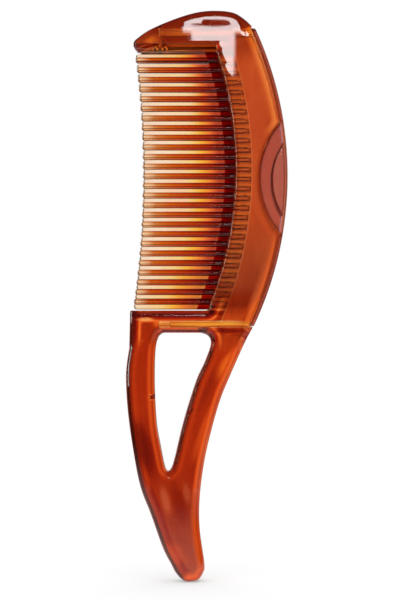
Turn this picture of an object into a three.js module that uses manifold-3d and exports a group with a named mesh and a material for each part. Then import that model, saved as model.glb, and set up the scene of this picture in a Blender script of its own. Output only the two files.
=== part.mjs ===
// A tortoiseshell comb whose teeth draw back into the head, which wipes hair off them.
// Two frame halves make the hooked cap, the head walls, the bottom bar and the loop handle.
// A cartridge of two tooth plates slides out of the open spine on two runners,
// and a slotted guide fixed in the mouth lets the teeth through.
// Millimetres, +Z up, +X from the tooth tips to the spine, the front face towards -Y.

import * as THREE from 'three';
import { mergeVertices } from 'three/addons/utils/BufferGeometryUtils.js';
import Module from 'manifold-3d';

// Thickness from front to rear
const HEAD_THICKNESS = 13;
const LIMB_THICKNESS = 10.5;
const TAIL_THICKNESS = 9;
const WALL = 2.2;
const EDGE_ROUND = 1.6;
const EDGE_STEPS = 2;

// Heights, from the tail tip up
const HANDLE_LENGTH = 87.4;
const BAR_HEIGHT = 7.8;
const MOUTH_HEIGHT = 90.8;
const CAP_HEIGHT = 14;
const NECK_LENGTH = 15;

// Lip of the head walls: X at the bottom, the middle and the top of the mouth
const LIP_BOTTOM_X = 0.4;
const LIP_MIDDLE_X = 10.1;
const LIP_TOP_X = 3.4;

// Spine of the head: X at its bottom, middle and top, and the strip that covers it
const SPINE_BOTTOM_X = 16.4;
const SPINE_MIDDLE_X = 28.3;
const SPINE_TOP_X = 17;
const STRIP_WIDTH = 1.2;
const STRIP_OVERHANG = 0.5;

// Teeth: one tooth, the rib between two channels, and the line of the tips
const TOOTH_ROOT_DIAMETER = 2.35;
const TOOTH_TIP_DIAMETER = 2.2;
const TOOTH_COVER = 0.3;
const TOOTH_SINK = 1;
const TOOTH_SIDES = 8;
const CHANNEL_CLEARANCE = 0.25;
const RIB_THICKNESS = 0.53;
const TOOTH_END_GAP = 0.25;
const TIP_BOTTOM_X = -25.8;
const TIP_MIDDLE_X = -22.5;
const TIP_TOP_X = -25.2;

// Guide in the mouth: how far it stands out of the lip and reaches in, and its end tenons
const GUIDE_PROUD = 3.8;
const GUIDE_INSIDE = 5.6;
const TENON_LENGTH = 1.6;
const TENON_WIDTH = 3.2;
const TENON_SETBACK = 1;
const TENON_DEPTH = 3.6;

// Runners of the cartridge, and how far it draws out
const TRAVEL = 29.5;
const RUNNER_HEIGHT = 1.8;
const RUNNER_WIDTH = 2;
const RUNNER_HEAD_WIDTH = 3.2;
const RUNNER_HEAD_LENGTH = 1.8;
const RUNNER_LEFT_X = -16.5;
const UPPER_RUNNER_RISE = 5.4;
const LOWER_RUNNER_DROP = 3.7;
const LOWER_NOSE_LENGTH = 3.6;
const LOWER_NOSE_HEIGHT = 0.8;

// Half-moon finger notch in the spine, and the raised pad in it
const NOTCH_HEIGHT = 39;
const NOTCH_DEPTH = 8.8;
const LUG_THICKNESS = 1.3;
const PAD_HEIGHT = 26;
const PAD_DEPTH = 4.7;
const PAD_RISE = 0.7;
const PAD_RIM = 1;
const PAD_DROP = 0.7;

// Pegs that locate the two halves: X, and share of the handle's length for those in the handle
const PEG_DIAMETER = 1.8;
const PEG_LENGTH = 2.4;
const PEG_ROOT = 1;
const PEG_SIDES = 10;
const CAP_PEG_RISE = 2.6;
const CAP_PEGS_X = [-18.1, -14.8];
const BAR_PEG_X = -22;
const HANDLE_PEGS = [[-21, 0.74], [-4.2, 0.68], [-10.8, 0.25]];

// Core in the thick corner where the spine-side limb joins the bar
const CORE_DEPTH = 3;
const CORE_HEIGHT = 5.6;
const CORE_DROP = 0.6;
const CORE_TOP_X = [5, 12.6];
const CORE_BOTTOM_X = [3.8, 8.4];

// Clearance between pieces that meet or slide
const FIT_GAP = 0.3;

// Outlines: X, and share of the cap's height or of the handle's length
const NOSE_X = -25.7;
const NOSE_RADIUS = 2.2;
const NOSE_END_ANGLE = 125;
const CAP_PROFILE = [
  [-19.9, 0.526], [-11.1, 0.796], [-3.5, 0.957], [2.9, 1], [9.2, 0.952], [13.2, 0.785], [16, 0.598],
];
const SPINE_LIMB = [
  [13.3, 0.96], [8.35, 0.832], [4.85, 0.735], [1.5, 0.603], [-1.05, 0.47], [-2.5, 0.33], [-2.45, 0.21],
];
const TAIL_TIP = [
  [-0.75, 0.068], [-1.3, 0.034], [-2.9, 0.008], [-5.5, 0.0008], [-7.4, 0.0018], [-9.3, 0.0145], [-11.2, 0.041],
  [-12.5, 0.07],
];
const TOOTH_LIMB = [
  [-15.4, 0.135], [-19.6, 0.27], [-23.2, 0.38], [-25.7, 0.523], [-27.7, 0.69], [-28.3, 0.84], [-27.2, 0.94],
];
const BAR_CORNER_X = -26.8;
const LOOP_TOP_X = [-15.2, -2];
const LOOP = [
  [-17.1, 0.98], [-18.1, 0.92], [-18.3, 0.79], [-17.6, 0.64], [-16, 0.533], [-14.6, 0.458], [-13.4, 0.445],
  [-12.3, 0.458], [-11.1, 0.505], [-8.15, 0.645], [-3.85, 0.803], [-0.65, 0.886], [1.45, 0.957], [0.5, 0.988],
];

// Fineness of the curves, and reaches that clear the whole comb
const CURVE_STEPS = 3;
const ARC_STEPS = 14;
const FAR_X = 80;
const FAR_Y = 40;

// Sizes that follow from the ones above
const BAR_BOTTOM_Z = HANDLE_LENGTH;
const BAR_TOP_Z = BAR_BOTTOM_Z + BAR_HEIGHT;
const CAP_UNDERSIDE_Z = BAR_TOP_Z + MOUTH_HEIGHT;
const UPPER_RUNNER_Z = CAP_UNDERSIDE_Z + UPPER_RUNNER_RISE;
const LOWER_RUNNER_Z = BAR_TOP_Z - LOWER_RUNNER_DROP - RUNNER_HEIGHT;
const PLATE_TOP_Z = UPPER_RUNNER_Z;
const PLATE_BOTTOM_Z = LOWER_RUNNER_Z + RUNNER_HEIGHT;
const STRIP_TOP_Z = UPPER_RUNNER_Z + RUNNER_HEIGHT + STRIP_OVERHANG;
const STRIP_BOTTOM_Z = LOWER_RUNNER_Z;
const SPINE_MIDDLE_Z = (STRIP_TOP_Z + STRIP_BOTTOM_Z) / 2;
const FACE_Y = HEAD_THICKNESS / 2;
const CAVITY_HALF = FACE_Y - WALL;
const PLATE_HALF = CAVITY_HALF - FIT_GAP;
const LUG_FACE_Y = CAVITY_HALF + LUG_THICKNESS;
const ROW_Y = PLATE_HALF - TOOTH_COVER - TOOTH_ROOT_DIAMETER / 2;
const CHANNEL_WIDTH = TOOTH_ROOT_DIAMETER + 2 * CHANNEL_CLEARANCE;
const TOOTH_PITCH = CHANNEL_WIDTH + RIB_THICKNESS;
const LOWEST_TOOTH_Z = BAR_TOP_Z + TOOTH_END_GAP + TOOTH_ROOT_DIAMETER / 2;
const TOOTH_SPAN = MOUTH_HEIGHT - 2 * TOOTH_END_GAP - TOOTH_ROOT_DIAMETER;
const TOOTH_COUNT = Math.floor(TOOTH_SPAN / TOOTH_PITCH) + 1;
const STOP_X = RUNNER_LEFT_X + RUNNER_HEAD_LENGTH + TRAVEL + FIT_GAP;

const wasm = await Module();
wasm.setup();

// The circle through three points, given as [x, z]
function circleThrough([ax, az], [bx, bz], [cx, cz]) {
  const twiceArea = 2 * (ax * (bz - cz) + bx * (cz - az) + cx * (az - bz));
  const a = ax * ax + az * az;
  const b = bx * bx + bz * bz;
  const c = cx * cx + cz * cz;
  const x = (a * (bz - cz) + b * (cz - az) + c * (az - bz)) / twiceArea;
  const z = (a * (cx - bx) + b * (ax - cx) + c * (bx - ax)) / twiceArea;
  return { x, z, radius: Math.hypot(bx - x, bz - z), side: Math.sign(bx - x) };
}

// X of a circle at a height, on the side of its middle point, moved outwards from its centre
function circleX(circle, z, outwards = 0) {
  return circle.x + circle.side * Math.sqrt((circle.radius + outwards) ** 2 - (z - circle.z) ** 2);
}

// Points along a circle between two heights
function alongCircle(circle, fromZ, toZ, outwards = 0) {
  return Array.from({ length: ARC_STEPS + 1 }, (_, step) => {
    const z = THREE.MathUtils.lerp(fromZ, toZ, step / ARC_STEPS);
    return new THREE.Vector2(circleX(circle, z, outwards), z);
  });
}

const LIP = circleThrough(
  [LIP_BOTTOM_X, BAR_TOP_Z],
  [LIP_MIDDLE_X, BAR_TOP_Z + MOUTH_HEIGHT / 2],
  [LIP_TOP_X, CAP_UNDERSIDE_Z],
);
const SPINE = circleThrough(
  [SPINE_BOTTOM_X, STRIP_BOTTOM_Z],
  [SPINE_MIDDLE_X, SPINE_MIDDLE_Z],
  [SPINE_TOP_X, STRIP_TOP_Z],
);
const TIPS = circleThrough(
  [TIP_BOTTOM_X, LOWEST_TOOTH_Z],
  [TIP_MIDDLE_X, LOWEST_TOOTH_Z + TOOTH_SPAN / 2],
  [TIP_TOP_X, LOWEST_TOOTH_Z + TOOTH_SPAN],
);

// A half-moon: a circle whose two ends lie on the spine, set in from it
function halfMoon(middleZ, height, depth, setIn) {
  const [lowZ, highZ] = [middleZ - height / 2, middleZ + height / 2];
  const [low, high] = [lowZ, highZ].map((z) => [circleX(SPINE, z, -setIn), z]);
  const circle = circleThrough(low, [circleX(SPINE, middleZ, -setIn) - depth, middleZ], high);
  return { circle, lowZ, highZ };
}

const NOTCH = halfMoon(SPINE_MIDDLE_Z, NOTCH_HEIGHT, NOTCH_DEPTH, STRIP_WIDTH);
const PAD = halfMoon(SPINE_MIDDLE_Z - PAD_DROP, PAD_HEIGHT, PAD_DEPTH, PAD_RIM);

// A closed body from a three.js geometry
function solid(geometry) {
  geometry.deleteAttribute('normal');
  geometry.deleteAttribute('uv');
  const merged = mergeVertices(geometry);
  const index = merged.index.array;
  const triangles = [];
  for (let i = 0; i < index.length; i += 3) {
    const [a, b, c] = index.slice(i, i + 3);
    if (a !== b && b !== c && c !== a) {
      triangles.push(a, b, c);
    }
  }
  return new wasm.Manifold(new wasm.Mesh({
    numProp: 3,
    vertProperties: new Float32Array(merged.attributes.position.array),
    triVerts: new Uint32Array(triangles),
  }));
}

// A three.js geometry from a closed body
function geometryOf(body) {
  const { vertProperties, triVerts } = body.getMesh();
  const geometry = new THREE.BufferGeometry();
  geometry.setAttribute('position', new THREE.BufferAttribute(new Float32Array(vertProperties), 3));
  geometry.setIndex(new THREE.BufferAttribute(new Uint32Array(triVerts), 1));
  geometry.computeVertexNormals();
  return geometry;
}

// A box between two corners
function box([x0, y0, z0], [x1, y1, z1]) {
  const geometry = new THREE.BoxGeometry(x1 - x0, y1 - y0, z1 - z0);
  geometry.translate((x0 + x1) / 2, (y0 + y1) / 2, (z0 + z1) / 2);
  return solid(geometry);
}

// A straight-sided slab of an outline in X and Z, between two depths
function slab(shape, nearY, farY) {
  const options = { depth: farY - nearY, bevelEnabled: false, curveSegments: CURVE_STEPS };
  const geometry = new THREE.ExtrudeGeometry(shape, options);
  geometry.rotateX(Math.PI / 2);
  geometry.translate(0, farY, 0);
  return solid(geometry);
}

// The same slab on the front and on the rear, between two distances from the middle plane
function slabPair(shape, innerY, outerY) {
  return slab(shape, -outerY, -innerY).add(slab(shape, innerY, outerY));
}

// The part of the plane between two circles, from one height to another
function bandShape(left, leftOut, right, rightOut, lowZ, highZ) {
  const up = alongCircle(left, lowZ, highZ, leftOut);
  const down = alongCircle(right, highZ, lowZ, rightOut);
  return new THREE.Shape([...up, ...down]);
}

// The part of the plane to the right of a circle, from one height to another
function rightOf(circle, outwards, lowZ, highZ) {
  const edge = alongCircle(circle, lowZ, highZ, outwards);
  return new THREE.Shape([...edge, new THREE.Vector2(FAR_X, highZ), new THREE.Vector2(FAR_X, lowZ)]);
}

// Half-moon region right of its circle, with its edge moved outwards from the circle's centre
function halfMoonShape({ circle, lowZ, highZ }, outwards = 0) {
  return rightOf(circle, outwards, lowZ - outwards, highZ + outwards);
}

// Half the comb's thickness at a height: full in the head, slimmer down the handle
function halfThickness(z) {
  const inHead = THREE.MathUtils.smoothstep(z, BAR_TOP_Z - NECK_LENGTH, BAR_TOP_Z);
  const upHandle = THREE.MathUtils.clamp(z / BAR_TOP_Z, 0, 1);
  const handle = THREE.MathUtils.lerp(TAIL_THICKNESS, LIMB_THICKNESS, upHandle);
  return THREE.MathUtils.lerp(handle, HEAD_THICKNESS, inHead) / 2;
}

const capPoint = ([x, share]) => new THREE.Vector2(x, CAP_UNDERSIDE_Z + share * CAP_HEIGHT);
const handlePoint = ([x, share]) => new THREE.Vector2(x, share * HANDLE_LENGTH);

// Opening of the loop handle, counterclockwise from its top edge
function loopOutline() {
  const [leftX, rightX] = LOOP_TOP_X;
  const path = new THREE.Path();
  path.moveTo(rightX, BAR_BOTTOM_Z);
  path.lineTo(leftX, BAR_BOTTOM_Z);
  path.splineThru([...LOOP.map(handlePoint), new THREE.Vector2(rightX, BAR_BOTTOM_Z)]);
  return path;
}

// Outline of the whole frame, clockwise from the nose of the cap
function frameOutline() {
  const noseX = NOSE_X + NOSE_RADIUS;
  const noseZ = CAP_UNDERSIDE_Z + NOSE_RADIUS;
  const noseEnd = THREE.MathUtils.degToRad(NOSE_END_ANGLE);
  const shape = new THREE.Shape();
  shape.moveTo(noseX, CAP_UNDERSIDE_Z);
  shape.absarc(noseX, noseZ, NOSE_RADIUS, -Math.PI / 2, noseEnd, true);
  shape.splineThru(CAP_PROFILE.map(capPoint));
  alongCircle(SPINE, STRIP_TOP_Z, STRIP_BOTTOM_Z).forEach((point) => shape.lineTo(point.x, point.y));
  shape.splineThru([...SPINE_LIMB, ...TAIL_TIP, ...TOOTH_LIMB].map(handlePoint));
  shape.lineTo(BAR_CORNER_X, BAR_TOP_Z);
  alongCircle(LIP, BAR_TOP_Z, CAP_UNDERSIDE_Z).forEach((point) => shape.lineTo(point.x, point.y));
  shape.lineTo(noseX, CAP_UNDERSIDE_Z);
  shape.holes.push(loopOutline());
  return shape;
}

// The frame before it is hollowed and split, with rounded edges and its slimmer handle
function frameBlank() {
  const depth = HEAD_THICKNESS - 2 * EDGE_ROUND;
  const geometry = new THREE.ExtrudeGeometry(frameOutline(), {
    depth,
    curveSegments: CURVE_STEPS,
    bevelThickness: EDGE_ROUND,
    bevelSize: EDGE_ROUND,
    bevelOffset: -EDGE_ROUND,
    bevelSegments: EDGE_STEPS,
  });
  geometry.rotateX(Math.PI / 2);
  geometry.translate(0, depth / 2, 0);
  const position = geometry.attributes.position;
  for (let i = 0; i < position.count; i += 1) {
    position.setY(i, position.getY(i) * halfThickness(position.getZ(i)) / FACE_Y);
  }
  return solid(geometry);
}

// Space inside the head for the tooth plates and the guide, open at the mouth and at the spine
function headCavity() {
  const lowZ = PLATE_BOTTOM_Z - FIT_GAP;
  const highZ = PLATE_TOP_Z + FIT_GAP;
  const plates = slab(rightOf(LIP, GUIDE_INSIDE, lowZ, highZ), -CAVITY_HALF, CAVITY_HALF);
  const mouth = box([-FAR_X, -CAVITY_HALF, BAR_TOP_Z], [FAR_X, CAVITY_HALF, CAP_UNDERSIDE_Z]);
  return plates.add(mouth);
}

// Groove for a runner, wide for its head and narrow past the stop
function runnerGroove(z, stopX) {
  const low = z - FIT_GAP;
  const high = z + RUNNER_HEIGHT + FIT_GAP;
  const wide = RUNNER_HEAD_WIDTH / 2 + FIT_GAP;
  const narrow = RUNNER_WIDTH / 2 + FIT_GAP;
  const run = box([RUNNER_LEFT_X - FIT_GAP, -wide, low], [stopX, wide, high]);
  return run.add(box([RUNNER_LEFT_X, -narrow, low], [FAR_X, narrow, high]));
}

// End tenons of the guide, grown by a clearance for their sockets
function guideTenons(clearance) {
  const halfWidth = TENON_WIDTH / 2 + clearance;
  const tenon = (z, lowZ, highZ) => {
    const left = circleX(LIP, z) + TENON_SETBACK;
    return box(
      [left - clearance, -halfWidth, lowZ - clearance],
      [left + TENON_DEPTH + clearance, halfWidth, highZ + clearance],
    );
  };
  const lower = tenon(BAR_TOP_Z, BAR_TOP_Z - TENON_LENGTH, BAR_TOP_Z + TENON_LENGTH);
  const upper = tenon(CAP_UNDERSIDE_Z, CAP_UNDERSIDE_Z - TENON_LENGTH, CAP_UNDERSIDE_Z + TENON_LENGTH);
  return lower.add(upper);
}

// Core that thins the corner between the spine-side limb and the bar
function limbCore() {
  const topZ = BAR_BOTTOM_Z - CORE_DROP;
  const bottomZ = topZ - CORE_HEIGHT;
  const corners = [
    new THREE.Vector2(CORE_BOTTOM_X[0], bottomZ),
    new THREE.Vector2(CORE_BOTTOM_X[1], bottomZ),
    new THREE.Vector2(CORE_TOP_X[1], topZ),
    new THREE.Vector2(CORE_TOP_X[0], topZ),
  ];
  return slab(new THREE.Shape(corners), -CORE_DEPTH, CORE_DEPTH);
}

// Pegs across the middle plane, grown by a clearance for their sockets
function locatingPegs(clearance) {
  const places = [
    ...CAP_PEGS_X.map((x) => [x, CAP_UNDERSIDE_Z + CAP_PEG_RISE]),
    [BAR_PEG_X, (BAR_BOTTOM_Z + BAR_TOP_Z) / 2],
    ...HANDLE_PEGS.map(([x, share]) => [x, share * HANDLE_LENGTH]),
  ];
  const radius = PEG_DIAMETER / 2 + clearance;
  const frontY = -PEG_LENGTH - clearance;
  const pegs = places.map(([x, z]) => {
    const geometry = new THREE.CylinderGeometry(radius, radius, PEG_ROOT - frontY, PEG_SIDES);
    geometry.translate(x, (PEG_ROOT + frontY) / 2, z);
    return solid(geometry);
  });
  return pegs.reduce((all, peg) => all.add(peg));
}

const BLANK = frameBlank();

// Both frame halves, hollowed and still in one
function hollowFrame() {
  const rim = slab(
    rightOf(SPINE, -STRIP_WIDTH - FIT_GAP, STRIP_BOTTOM_Z - FIT_GAP, STRIP_TOP_Z + FIT_GAP),
    -FAR_Y,
    FAR_Y,
  );
  const notches = slabPair(halfMoonShape(NOTCH), CAVITY_HALF, FAR_Y);
  return BLANK
    .subtract(headCavity())
    .subtract(runnerGroove(UPPER_RUNNER_Z, STOP_X))
    .subtract(runnerGroove(LOWER_RUNNER_Z, FAR_X))
    .subtract(guideTenons(FIT_GAP))
    .subtract(limbCore())
    .subtract(rim)
    .subtract(notches);
}

const FRAME = hollowFrame();

// Front half of the frame, with sockets for the pegs
function frontShell() {
  const frontSide = box([-FAR_X, -FAR_Y, -FAR_X], [FAR_X, 0, 3 * FAR_X]);
  return FRAME.intersect(frontSide).subtract(locatingPegs(FIT_GAP));
}

// Rear half of the frame, with the pegs
function rearShell() {
  const rearSide = box([-FAR_X, 0, -FAR_X], [FAR_X, FAR_Y, 3 * FAR_X]);
  return FRAME.intersect(rearSide).add(locatingPegs(0));
}

// Guide in the mouth: front channels open to the front, rear channels to the rear
function toothGuide() {
  const lowZ = BAR_TOP_Z + FIT_GAP;
  const highZ = CAP_UNDERSIDE_Z - FIT_GAP;
  const strip = slab(bandShape(LIP, -GUIDE_PROUD, LIP, GUIDE_INSIDE, lowZ, highZ), -PLATE_HALF, PLATE_HALF);
  const floorY = ROW_Y - TOOTH_ROOT_DIAMETER / 2 - CHANNEL_CLEARANCE;
  const channel = (z, side) => {
    const depths = [side * floorY, side * FAR_Y].sort((a, b) => a - b);
    const half = CHANNEL_WIDTH / 2;
    return box([-FAR_X, depths[0], z - half], [FAR_X, depths[1], z + half]);
  };
  const channels = [
    ...rowHeights(1).map((z) => channel(z, -1)),
    ...rowHeights(0).map((z) => channel(z, 1)),
  ];
  return channels.reduce((guide, cut) => guide.subtract(cut), strip.add(guideTenons(0)));
}

// Heights of the teeth in a row: the front row's stand between the rear row's and are one less
function rowHeights(front) {
  const start = LOWEST_TOOTH_Z + front * TOOTH_PITCH / 2;
  return Array.from({ length: TOOTH_COUNT - front }, (_, i) => start + i * TOOTH_PITCH);
}

// One tapered tooth with a round tip, from inside the plate to the line of the tips
function tooth(y, z) {
  const rootX = circleX(LIP, z, GUIDE_INSIDE + FIT_GAP) + TOOTH_SINK;
  const length = rootX - circleX(TIPS, z);
  const root = TOOTH_ROOT_DIAMETER / 2;
  const tip = TOOTH_TIP_DIAMETER / 2;
  const profile = [
    new THREE.Vector2(0, 0),
    new THREE.Vector2(root, 0),
    new THREE.Vector2(tip, length - tip),
    new THREE.Vector2(tip * Math.SQRT1_2, length - tip + tip * Math.SQRT1_2),
    new THREE.Vector2(0, length),
  ];
  const geometry = new THREE.LatheGeometry(profile, TOOTH_SIDES);
  geometry.rotateZ(Math.PI / 2);
  geometry.translate(rootX, y, z);
  return solid(geometry);
}

// Plate inside the head with its row of teeth
function toothPlate(nearY, farY, y, heights) {
  const shape = bandShape(
    LIP, GUIDE_INSIDE + FIT_GAP, SPINE, -STRIP_WIDTH - FIT_GAP, PLATE_BOTTOM_Z, PLATE_TOP_Z,
  );
  const teeth = heights.map((z) => tooth(y, z));
  return teeth.reduce((plate, next) => plate.add(next), slab(shape, nearY, farY));
}

// Runner with a wide head, from its left end to the strip on the spine
function runner(z, leftX) {
  const topZ = z + RUNNER_HEIGHT;
  const rightX = Math.min(circleX(SPINE, z), circleX(SPINE, topZ)) - STRIP_WIDTH - FIT_GAP;
  const half = RUNNER_WIDTH / 2;
  const headHalf = RUNNER_HEAD_WIDTH / 2;
  const bar = box([leftX, -half, z], [rightX, half, topZ]);
  return bar.add(box([leftX, -headHalf, z], [leftX + RUNNER_HEAD_LENGTH, headHalf, topZ]));
}

// Lower runner, with a thin nose that leads it into its groove
function lowerRunner() {
  const blockX = RUNNER_LEFT_X + LOWER_NOSE_LENGTH;
  const noseZ = LOWER_RUNNER_Z + (RUNNER_HEIGHT - LOWER_NOSE_HEIGHT) / 2;
  const half = RUNNER_WIDTH / 2;
  const nose = box(
    [RUNNER_LEFT_X, -half, noseZ],
    [blockX + RUNNER_HEAD_LENGTH, half, noseZ + LOWER_NOSE_HEIGHT],
  );
  return runner(LOWER_RUNNER_Z, blockX).add(nose);
}

// Strip along the spine with a lug on each side that fills the finger notch below the face
function spineGrip() {
  const zone = slab(rightOf(SPINE, -STRIP_WIDTH, STRIP_BOTTOM_Z, STRIP_TOP_Z), -FAR_Y, FAR_Y);
  const moon = halfMoonShape(NOTCH, -FIT_GAP);
  const lugs = BLANK.intersect(slabPair(moon, CAVITY_HALF, LUG_FACE_Y));
  const recesses = slabPair(halfMoonShape(NOTCH), LUG_FACE_Y, FAR_Y);
  return BLANK.intersect(zone).add(lugs).subtract(recesses);
}

// Raised half-moon pad on one lug
function thumbPad(nearY, farY) {
  const pad = slab(halfMoonShape(PAD), nearY, farY);
  const inRim = rightOf(SPINE, -PAD_RIM, STRIP_BOTTOM_Z, STRIP_TOP_Z);
  return pad.subtract(slab(inRim, -FAR_Y, FAR_Y));
}

// Clear amber plastics: the frame, the paler teeth and the redder grip
const FINISHES = {
  frame: { color: 0xb4481c, roughness: 0.12, metalness: 0 },
  guide: { color: 0x7a2110, roughness: 0.14, metalness: 0 },
  teeth: { color: 0xd9a05a, roughness: 0.14, metalness: 0 },
  grip: { color: 0xb24a2c, roughness: 0.18, metalness: 0 },
};

function piece(name, body, finish) {
  const mesh = new THREE.Mesh(geometryOf(body), new THREE.MeshStandardMaterial(finish));
  mesh.name = name;
  return mesh;
}

const frame = new THREE.Group();
frame.add(
  piece('front_shell', frontShell(), FINISHES.frame),
  piece('rear_shell', rearShell(), FINISHES.frame),
  piece('tooth_guide', toothGuide(), FINISHES.guide),
);

const cartridge = new THREE.Group();
cartridge.add(
  piece('front_tooth_plate', toothPlate(-PLATE_HALF, 0, -ROW_Y, rowHeights(1)), FINISHES.teeth),
  piece('rear_tooth_plate', toothPlate(0, PLATE_HALF, ROW_Y, rowHeights(0)), FINISHES.teeth),
  piece('upper_runner', runner(UPPER_RUNNER_Z, RUNNER_LEFT_X), FINISHES.teeth),
  piece('lower_runner', lowerRunner(), FINISHES.teeth),
  piece('spine_grip', spineGrip(), FINISHES.grip),
  piece('front_thumb_pad', thumbPad(-LUG_FACE_Y - PAD_RISE, -LUG_FACE_Y), FINISHES.grip),
  piece('rear_thumb_pad', thumbPad(LUG_FACE_Y, LUG_FACE_Y + PAD_RISE), FINISHES.grip),
);

const comb = new THREE.Group();
comb.add(frame, cartridge);

export default comb;
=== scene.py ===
"""A clear amber comb with a slide-out tooth cartridge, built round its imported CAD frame.

Plans are drawn in X and Z, in millimetres, and every mesh is made in metres.
"""

import logging
import math
from collections.abc import Callable, Sequence
from dataclasses import dataclass, field
from enum import Enum

import bmesh
import bpy
import numpy as np
from mathutils import Matrix, Vector
from mathutils.geometry import delaunay_2d_cdt


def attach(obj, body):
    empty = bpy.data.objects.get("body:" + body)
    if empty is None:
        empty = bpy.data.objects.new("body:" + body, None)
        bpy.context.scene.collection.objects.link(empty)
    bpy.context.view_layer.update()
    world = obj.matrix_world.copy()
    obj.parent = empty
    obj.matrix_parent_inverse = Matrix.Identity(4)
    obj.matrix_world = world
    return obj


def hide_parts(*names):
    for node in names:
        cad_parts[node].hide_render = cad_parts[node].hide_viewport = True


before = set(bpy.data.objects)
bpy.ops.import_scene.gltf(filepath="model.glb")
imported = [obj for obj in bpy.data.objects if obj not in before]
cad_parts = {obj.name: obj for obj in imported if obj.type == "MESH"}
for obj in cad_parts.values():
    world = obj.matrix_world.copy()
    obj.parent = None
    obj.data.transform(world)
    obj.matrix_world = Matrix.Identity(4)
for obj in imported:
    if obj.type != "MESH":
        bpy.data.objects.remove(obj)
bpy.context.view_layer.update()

LOG = logging.getLogger("amber_comb")
MM = 0.001
WELD = 1e-6
FINE_WELD = 1e-7
CROWN_REACH = 4.2
# Direction in plan of the painted light: edges that face it are painted glowing, the others painted dark.
PAINTED_LIGHT_SIDE = np.array((0.8, -0.6))

Point = tuple[float, float]
Loop = list[Point]
Lines = tuple[list[Point], list[tuple[int, int]]]


class EdgeRound(Enum):
    """A rounded edge: its run from the outline, its drop, and the face's fall towards it."""

    LIMB = (2.2, 2.5, 0.40)
    TAIL = (2.8, 2.6, 0.40)
    CAP = (2.3, 2.0, 0.0)
    SQUARE = (0.05, 0.05, 0.0)
    BAR = (1.8, 1.7, 0.15)
    LIP = (0.7, 0.7, 0.0)
    SPINE = (1.6, 1.6, 0.0)
    PAD = (0.9, 0.6, 0.0)
    CRISP = (0.25, 0.25, 0.0)


@dataclass(frozen=True)
class Arc:
    """A circle in plan, followed on one side of its centre."""

    x: float
    z: float
    radius: float
    side: float

    @classmethod
    def through(cls, low: Point, middle: Point, high: Point) -> "Arc":
        """The circle through three points, on the side of the middle one.

        Args:
            low: Lowest point.
            middle: Point between the other two.
            high: Highest point.

        Returns:
            The arc.
        """
        (ax, az), (bx, bz), (cx, cz) = low, middle, high
        twice = 2 * (ax * (bz - cz) + bx * (cz - az) + cx * (az - bz))
        a, b, c = ax * ax + az * az, bx * bx + bz * bz, cx * cx + cz * cz
        x = (a * (bz - cz) + b * (cz - az) + c * (az - bz)) / twice
        z = (a * (cx - bx) + b * (ax - cx) + c * (bx - ax)) / twice
        return cls(x, z, math.hypot(bx - x, bz - z), math.copysign(1.0, bx - x))

    def x_at(self, z: float, outwards: float = 0.0) -> float:
        """X at a height, with the circle grown outwards from its centre."""
        reach = (self.radius + outwards) ** 2 - (z - self.z) ** 2
        return self.x + self.side * math.sqrt(max(reach, 0.0))

    def walk(self, from_z: float, to_z: float, outwards: float = 0.0, steps: int = 60) -> Loop:
        """Points along the arc.

        Args:
            from_z: Height of the first point.
            to_z: Height of the last point.
            outwards: How much the circle is grown.
            steps: Number of steps.

        Returns:
            The points, first to last.
        """
        heights = np.linspace(from_z, to_z, steps + 1)
        return [(self.x_at(z, outwards), float(z)) for z in heights]


def spline(points: Sequence[Point], steps: int = 14) -> Loop:
    """A smooth curve through points.

    Args:
        points: The points that it passes.
        steps: Steps between two of them.

    Returns:
        Points along the curve.
    """
    known = [np.array(p) for p in points]
    ends = [known[0], *known, known[-1]]
    curve = []
    for p0, p1, p2, p3 in zip(ends, ends[1:], ends[2:], ends[3:]):
        v0, v1 = (p2 - p0) / 2, (p3 - p1) / 2
        for t in np.linspace(0, 1, steps, endpoint=False):
            bend = (2 * p1 - 2 * p2 + v0 + v1) * t**3 + (-3 * p1 + 3 * p2 - 2 * v0 - v1) * t**2
            curve.append(tuple(float(c) for c in bend + v0 * t + p1))
    return [*curve, tuple(points[-1])]


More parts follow.
